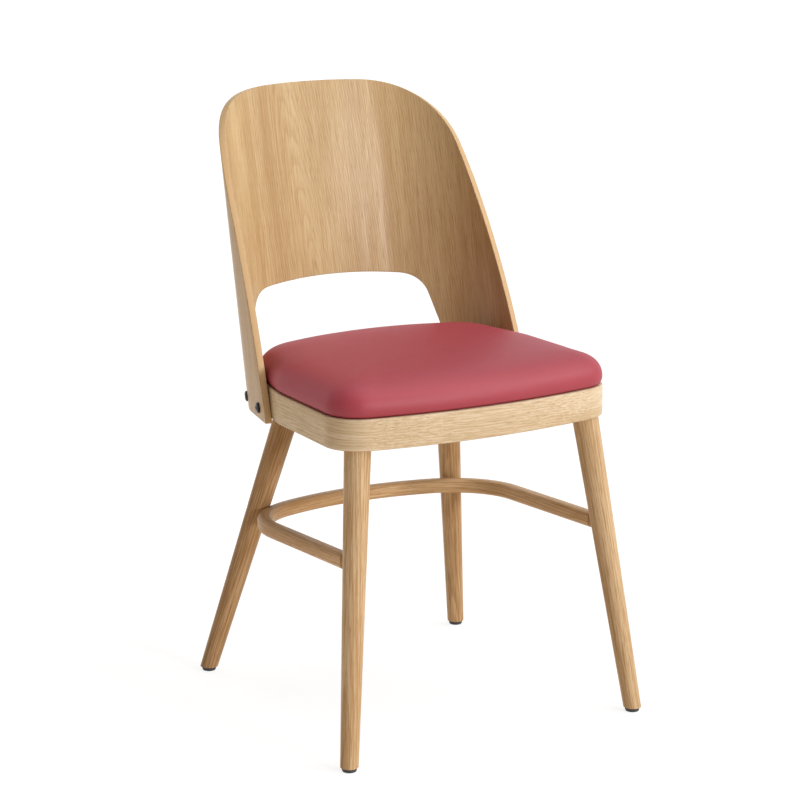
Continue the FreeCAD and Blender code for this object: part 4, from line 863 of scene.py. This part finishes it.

# %% [markdown]
# Leatherette has a fine pressed grain, an even colour and a soft, broad sheen. The grain is a bump
# of small cells, too shallow to see except where light grazes it, with a painted shade that darkens
# its valleys, and a slow noise varies the colour a little, as light through a coat of colour does.

# %% Leatherette
LEATHER_RED = colour(0.35, 0.045, 0.064)
LEATHER_DEEP = colour(0.29, 0.033, 0.048)
LEATHER_GLOSS = 0.36
LEATHER_ROUGHNESS = 0.53
TINT_SCALE = 40.0
TINT_DETAIL = 3.0
TINT_SHARE = 0.4
GRAIN_SIZE = 0.0016
GRAIN_VALLEY = 0.2
VALLEY_PAINTED_SHADE = 0.25
GRAIN_POLISH = 0.05
GRAIN_RELIEF = 0.2
GRAIN_DEPTH = 0.0002


def leatherette():
    """Raspberry leatherette with a fine pressed grain, with painted shade in its valleys, duller
    there.
    """
    material, tree, shader = new_material("red_leatherette")
    where = object_place(tree)
    tint = noise(tree, where, TINT_SCALE, TINT_DETAIL)
    base = mix_colours(tree, calculate(tree, "MULTIPLY", tint, TINT_SHARE),
                       LEATHER_RED, LEATHER_DEEP)
    cells = add_node(tree, "ShaderNodeTexVoronoi",
                     {"Vector": where, "Scale": 1 / GRAIN_SIZE}, feature="DISTANCE_TO_EDGE")
    height = spread(tree, cells.outputs["Distance"], 0.0, GRAIN_VALLEY)
    # Painted shade: the valleys of the grain are mixed towards the deep red.
    shade = calculate(tree, "MULTIPLY_ADD", height, -VALLEY_PAINTED_SHADE, VALLEY_PAINTED_SHADE)
    base = mix_colours(tree, shade, base, LEATHER_DEEP)
    rough = calculate(tree, "MULTIPLY_ADD", height, -GRAIN_POLISH, LEATHER_ROUGHNESS)
    coat(tree, shader, base, rough)
    shader.inputs["Specular IOR Level"].default_value = LEATHER_GLOSS
    relief(tree, shader, height, GRAIN_RELIEF, GRAIN_DEPTH)
    return material


red_leatherette = leatherette()
for piece in (cushion, hem):
    piece.data.materials.clear()
    piece.data.materials.append(red_leatherette)
stand_for(cushion, "red_leatherette", "seat_cover", "seat_foam")
stand_for(hem, "red_leatherette")
print("leatherette on", cushion.name, "and", hem.name)

# %% [markdown]
# The small parts need plain, honest finishes. The bolts are plated dark, and the screws, nails,
# staples and inserts are zinc. A faint mottle keeps the plating from looking like a mirror.

# %% Steel
DARK_PLATE = colour(0.04, 0.038, 0.043)
DARK_ROUGHNESS = 0.25
ZINC_PLATE = colour(0.62, 0.62, 0.64)
ZINC_ROUGHNESS = 0.4
MOTTLE_SCALE = 900.0
MOTTLE_DETAIL = 3.0
MOTTLE_SHADE = 0.7
MOTTLE_ROUGHNESS = 0.2


def steel(name, tone, roughness):
    """Plated steel with a faint mottle, about as rough as asked for."""
    material, tree, shader = new_material(name)
    mottle = noise(tree, object_place(tree), MOTTLE_SCALE, MOTTLE_DETAIL)
    darker = colour(*(MOTTLE_SHADE * value for value in tone[:3]))
    rough = calculate(tree, "MULTIPLY_ADD", mottle, MOTTLE_ROUGHNESS,
                      roughness - MOTTLE_ROUGHNESS / 2)
    coat(tree, shader, mix_colours(tree, mottle, tone, darker), rough)
    shader.inputs["Metallic"].default_value = 1.0
    return material


dress(["backrest_bolts"], steel("dark_steel", DARK_PLATE, DARK_ROUGHNESS))
zinc = steel("zinc_steel", ZINC_PLATE, ZINC_ROUGHNESS)
dress(["backrest_inserts", "glide_nails", "cover_staples"], zinc)
print("steel ready")

# %% [markdown]
# The glides are moulded in black plastic with a fine matt texture, and a thin black felt closes the
# seat from below. The seat board and the dowels are hardly seen, and take the finish of the rails.

# %% Plastic, cloth and hidden wood
PLASTIC_DEEP = colour(0.015, 0.015, 0.016)
PLASTIC_PALE = colour(0.03, 0.03, 0.032)
SPECKLE_SCALE = 2500.0
PLASTIC_ROUGHNESS = 0.4
SPECKLE_ROUGHNESS = 0.2
SPECKLE_RELIEF = 0.2
SPECKLE_DEPTH = 0.0001
CLOTH_DEEP = colour(0.012, 0.012, 0.013)
CLOTH_PALE = colour(0.045, 0.045, 0.048)
CLOTH_ROUGHNESS = 0.95
FIBRE_LENGTH = 0.002
FIBRE_WIDTH = 0.0005
FIBRE_DETAIL = 4.0
FIBRE_BREAKUP = 0.7
FIBRE_RELIEF = 0.5
FIBRE_DEPTH = 0.0004
BOARD_PLACE = (0.2, 0.8, 0.3)
DOWEL_PLACE = (0.6, 0.1, 0.9)


def black_plastic():
    """Moulded black plastic with a fine matt texture."""
    material, tree, shader = new_material("black_plastic")
    speckle = noise(tree, object_place(tree), SPECKLE_SCALE)
    base = mix_colours(tree, speckle, PLASTIC_DEEP, PLASTIC_PALE)
    rough = calculate(tree, "MULTIPLY_ADD", speckle, SPECKLE_ROUGHNESS, PLASTIC_ROUGHNESS)
    coat(tree, shader, base, rough)
    relief(tree, shader, speckle, SPECKLE_RELIEF, SPECKLE_DEPTH)
    return material


def dust_cloth():
    """Black felted cloth under the seat, with its fibres lying level."""
    material, tree, shader = new_material("black_cloth")
    fibres = grain_noise(tree, object_place(tree), FIBRE_LENGTH, FIBRE_WIDTH,
                         FIBRE_DETAIL, FIBRE_BREAKUP)
    base = mix_colours(tree, fibres, CLOTH_DEEP, CLOTH_PALE)
    tree.links.new(base, shader.inputs["Base Color"])
    shader.inputs["Roughness"].default_value = CLOTH_ROUGHNESS
    relief(tree, shader, fibres, FIBRE_RELIEF, FIBRE_DEPTH)
    return material


dress([corner + "_glide" for corner in LEG_PLACES], black_plastic())
dress(["seat_bottom_cloth"], dust_cloth())
dress(["seat_board"], straight_oak("board_plywood", (1, 0, 0), BOARD_PLACE, **RAIL_FINISH))
dress(["rail_dowels"], straight_oak("dowel_wood", (0, 1, 0), DOWEL_PLACE, **RAIL_FINISH))
print("small parts dressed")

# %% [markdown]
# The same wood screw holds the corner blocks, the seat board and the stretcher, so it is drawn once
# and set at each place by Geometry Nodes. The places come from the CAD screws: each separate solid
# gives the middle of its head, the direction that the head faces, and its length. The long axis of
# a solid is found by letting its points pull a direction towards themselves a few times.

# %% Places of the screws
SCREW_NODES = ("corner_block_screws", "seat_screws", "stretcher_screws")
AXIS_ROUNDS = 12


def separate_solids(node):
    """Points of each separate solid of a CAD node."""
    shape = welded(nodes[node].data)
    seen = set()
    groups = []
    for vertex in shape.verts:
        front = [vertex]
        group = []
        while front:
            point = front.pop()
            if point not in seen:
                seen.add(point)
                group.append(point.co.copy())
                front += [edge.other_vert(point) for edge in point.link_edges]
        if group:
            groups.append(group)
    shape.free()
    return groups


def screw_place(points):
    """Middle of a screw's head, the direction that it faces, and the screw's length."""
    middle = sum(points, Vector()) / len(points)
    axis = max((point - middle for point in points), key=lambda ray: ray.length)
    for _ in range(AXIS_ROUNDS):
        axis = sum(((point - middle) * axis.dot(point - middle) for point in points), Vector())
        axis.normalize()
    widest = max((point - middle for point in points), key=lambda ray: ray.cross(axis).length)
    if widest.dot(axis) < 0:
        axis.negate()
    runs = [axis.dot(point - middle) for point in points]
    return middle + axis * max(runs), axis, max(runs) - min(runs)


screws = [screw_place(points) for node in SCREW_NODES for points in separate_solids(node)]
for top, axis, length in screws:
    print("screw at", [round(value, 3) for value in top], "length %.4f" % length)

# %% [markdown]
# The head is a short cone with a cross cut out of it, and the shank is a tapering cone of unit
# length that is stretched to the length of each screw.

# %% Head and shank of a screw
SCREW_SIZES = {
    "Head Radius": 0.0036,
    "Head Flat": 0.0026,
    "Head Height": 0.0024,
    "Shank Radius": 0.0018,
    "Tip Radius": 0.0005,
    "Cross Reach": 0.0038,
    "Cross Width": 0.0009,
    "Cross Depth": 0.0012,
}
HEAD_SIDES = 32
SHANK_SIDES = 16


def screw_head(tree, given, sink):
    """Head of a screw, from its underside up to the origin, with its cross cut out."""
    cone = add_node(tree, "GeometryNodeMeshCone", {
        "Vertices": HEAD_SIDES, "Radius Top": given["Head Flat"],
        "Radius Bottom": given["Head Radius"], "Depth": given["Head Height"],
    }).outputs["Mesh"]
    drop = add_node(tree, "ShaderNodeCombineXYZ", {"Z": sink}).outputs[0]
    head = add_node(tree, "GeometryNodeTransform", {"Geometry": cone, "Translation": drop})
    cut = add_node(tree, "GeometryNodeMeshBoolean", operation="DIFFERENCE")
    tree.links.new(head.outputs[0], cut.inputs[0])
    depth = calculate(tree, "MULTIPLY", given["Cross Depth"], 2.0)
    for long_side, short_side in (("X", "Y"), ("Y", "X")):
        extent = add_node(tree, "ShaderNodeCombineXYZ", {
            long_side: given["Cross Reach"], short_side: given["Cross Width"], "Z": depth,
        })
        slot = add_node(tree, "GeometryNodeMeshCube", {"Size": extent.outputs[0]})
        tree.links.new(slot.outputs["Mesh"], cut.inputs[1])
    return cut.outputs[0]


def screw_shank(tree, given):
    """Shank of a screw, one unit long, from the origin down."""
    cone = add_node(tree, "GeometryNodeMeshCone", {
        "Vertices": SHANK_SIDES, "Radius Top": given["Shank Radius"],
        "Radius Bottom": given["Tip Radius"], "Depth": 1.0,
    }).outputs["Mesh"]
    return add_node(tree, "GeometryNodeTransform",
                    {"Geometry": cone, "Translation": (0, 0, -1)}).outputs[0]


print("screw of %d sizes" % len(SCREW_SIZES))

# %% [markdown]
# The tree has an input for each size of the screw, and reads the direction and the length of each
# screw from its point. It sets the heads at the points and the shanks under the heads.

# %% Tree that sets the screws
def point_value(tree, name, kind):
    """Value that each point stores under a name."""
    made = add_node(tree, "GeometryNodeInputNamedAttribute", {"Name": name}, data_type=kind)
    return made.outputs["Attribute"]


def screw_tree(material):
    """Geometry Nodes tree that sets a wood screw at each point of a mesh."""
    tree = bpy.data.node_groups.new("wood_screws", "GeometryNodeTree")
    tree.interface.new_socket("Places", in_out="INPUT", socket_type="NodeSocketGeometry")
    for name in SCREW_SIZES:
        tree.interface.new_socket(name, in_out="INPUT", socket_type="NodeSocketFloat")
    tree.interface.new_socket("Screws", in_out="OUTPUT", socket_type="NodeSocketGeometry")
    given = tree.nodes.new("NodeGroupInput").outputs
    facing = point_value(tree, "facing", "FLOAT_VECTOR")
    length = point_value(tree, "length", "FLOAT")
    turn = add_node(tree, "FunctionNodeAlignRotationToVector", {"Vector": facing},
                    axis="Z").outputs[0]
    sink = calculate(tree, "MULTIPLY", given["Head Height"], -1.0)
    heads = add_node(tree, "GeometryNodeInstanceOnPoints", {
        "Points": given["Places"], "Instance": screw_head(tree, given, sink), "Rotation": turn,
    }).outputs[0]
    offset = add_node(tree, "ShaderNodeVectorMath", {0: facing, "Scale": sink},
                      operation="SCALE").outputs[0]
    under_heads = add_node(tree, "GeometryNodeSetPosition",
                           {"Geometry": given["Places"], "Offset": offset}).outputs[0]
    stretch = add_node(tree, "ShaderNodeCombineXYZ",
                       {"X": 1.0, "Y": 1.0, "Z": calculate(tree, "ADD", length, sink)}).outputs[0]
    shanks = add_node(tree, "GeometryNodeInstanceOnPoints", {
        "Points": under_heads, "Instance": screw_shank(tree, given), "Rotation": turn,
        "Scale": stretch,
    }).outputs[0]
    joined = tree.nodes.new("GeometryNodeJoinGeometry")
    for part in (heads, shanks):
        tree.links.new(part, joined.inputs[0])
    real = add_node(tree, "GeometryNodeRealizeInstances", {"Geometry": joined.outputs[0]})
    dressed = add_node(tree, "GeometryNodeSetMaterial",
                       {"Geometry": real.outputs[0], "Material": material})
    output = tree.nodes.new("NodeGroupOutput")
    tree.links.new(dressed.outputs[0], output.inputs[0])
    return tree


zinc_screws = screw_tree(zinc)
print("tree of", len(zinc_screws.nodes), "nodes")

# %% [markdown]
# Each screw is one point of a small mesh. A new attribute may move the ones before it in memory, so
# both attributes are made first and fetched again by name before they are filled. The result is
# turned into one plain mesh.

# %% Wood screws
def add_screws():
    """One plain mesh of all the wood screws."""
    mesh = bpy.data.meshes.new("wood_screws")
    mesh.from_pydata([top for top, axis, length in screws], [], [])
    mesh.attributes.new("facing", "FLOAT_VECTOR", "POINT")
    mesh.attributes.new("length", "FLOAT", "POINT")
    facing = mesh.attributes["facing"].data
    lengths = mesh.attributes["length"].data
    for number, (top, axis, length) in enumerate(screws):
        facing[number].vector = axis
        lengths[number].value = length
    piece = bpy.data.objects.new("wood_screws", mesh)
    scene.collection.objects.link(piece)
    maker = piece.modifiers.new("screws", "NODES")
    maker.node_group = zinc_screws
    for item in zinc_screws.interface.items_tree:
        if item.name in SCREW_SIZES:
            maker[item.identifier] = SCREW_SIZES[item.name]
    settle(piece)
    return piece


wood_screws = add_screws()
stand_for(wood_screws, "zinc_steel", *SCREW_NODES)
print("wood_screws:", len(screws), "screws,", len(wood_screws.data.polygons), "faces")

# %% [markdown]
# The studio is a white floor, a white world and soft lamps. The camera sees the floor as white and
# its shadow as a faint grey: the floor is pale for the light that it throws back, and lifted to
# white where it is seen directly or in a gloss. The light that it throws back is a little warm.

# %% Floor
FLOOR_SIZE = 60.0
FLOOR_BOUNCE = colour(0.95, 0.84, 0.73)
FLOOR_SEEN = colour(0.25, 0.25, 0.25)
FLOOR_LIFT = 0.84
FLOOR_ROUGHNESS = 0.9
WHITE = colour(1, 1, 1)


def shown_directly(tree):
    """1 for camera, glossy and transmission rays, else 0."""
    path = add_node(tree, "ShaderNodeLightPath").outputs
    either = calculate(tree, "MAXIMUM", path["Is Camera Ray"], path["Is Glossy Ray"])
    return calculate(tree, "MAXIMUM", either, path["Is Transmission Ray"])


def floor_white():
    """White of the floor, lifted where it is seen."""
    material, tree, shader = new_material("floor_white")
    seen = shown_directly(tree)
    base = mix_colours(tree, seen, FLOOR_BOUNCE, FLOOR_SEEN)
    tree.links.new(base, shader.inputs["Base Color"])
    shader.inputs["Roughness"].default_value = FLOOR_ROUGHNESS
    shader.inputs["Specular IOR Level"].default_value = 0.0
    shader.inputs["Emission Color"].default_value = WHITE
    lift = calculate(tree, "MULTIPLY", seen, FLOOR_LIFT)
    tree.links.new(lift, shader.inputs["Emission Strength"])
    return material


def add_floor():
    """Wide level floor under the chair."""
    half = FLOOR_SIZE / 2
    corners = [(-half, -half, 0), (half, -half, 0), (half, half, 0), (-half, half, 0)]
    mesh = bpy.data.meshes.new("floor")
    mesh.from_pydata(corners, [], [(0, 1, 2, 3)])
    mesh.materials.append(floor_white())
    floor = bpy.data.objects.new("floor", mesh)
    scene.collection.objects.link(floor)


add_floor()
print("floor %.0f m wide" % FLOOR_SIZE)

# %% [markdown]
# The lamps are suns with a wide disc, so they light the floor evenly as far as the camera sees it. A
# small one stands low in front and gives the sheen in the hollow of the back. A broader one stands
# on the right and leaves the right wing in shade. A very broad one hangs above. A fourth stands low
# behind the chair, on the left, and fills the shaded side without showing in the gloss. The world is
# dim where it only lights the chair, and a little warm. All stay at a level where a colour renders
# as it is written.

# %% Lamps and world
AMBIENT = 0.17
FILL_TINT = colour(1.0, 0.87, 0.75)


def add_lamp(name, azimuth, elevation, disc, brightness, mirrored=True):
    """Sun by its place and the width of its disc in degrees, and the white that it gives."""
    data = bpy.data.lights.new(name, "SUN")
    data.angle = math.radians(disc)
    data.energy = math.pi * brightness
    lamp = bpy.data.objects.new(name, data)
    scene.collection.objects.link(lamp)
    aim(lamp, look_from(math.radians(azimuth), math.radians(elevation)))
    lamp.visible_glossy = mirrored


def add_world():
    """White world, dimmer and warmer where it only lights the chair."""
    world = bpy.data.worlds.new("studio")
    scene.world = world
    world.use_nodes = True
    tree = world.node_tree
    tree.nodes.clear()
    seen = shown_directly(tree)
    strength = calculate(tree, "MULTIPLY_ADD", seen, 1.0 - AMBIENT, AMBIENT)
    tint = mix_colours(tree, seen, FILL_TINT, WHITE)
    background = add_node(tree, "ShaderNodeBackground", {"Color": tint, "Strength": strength})
    output = tree.nodes.new("ShaderNodeOutputWorld")
    tree.links.new(background.outputs[0], output.inputs["Surface"])


add_lamp("front", azimuth=15, elevation=14, disc=10, brightness=0.51)
add_lamp("key", azimuth=50, elevation=32, disc=24, brightness=0.36)
add_lamp("side", azimuth=-158, elevation=4, disc=40, brightness=0.58, mirrored=False)
add_lamp("top", azimuth=60, elevation=68, disc=60, brightness=0.48)
add_world()
scene.view_settings.view_transform = "Standard"
print("studio ready")
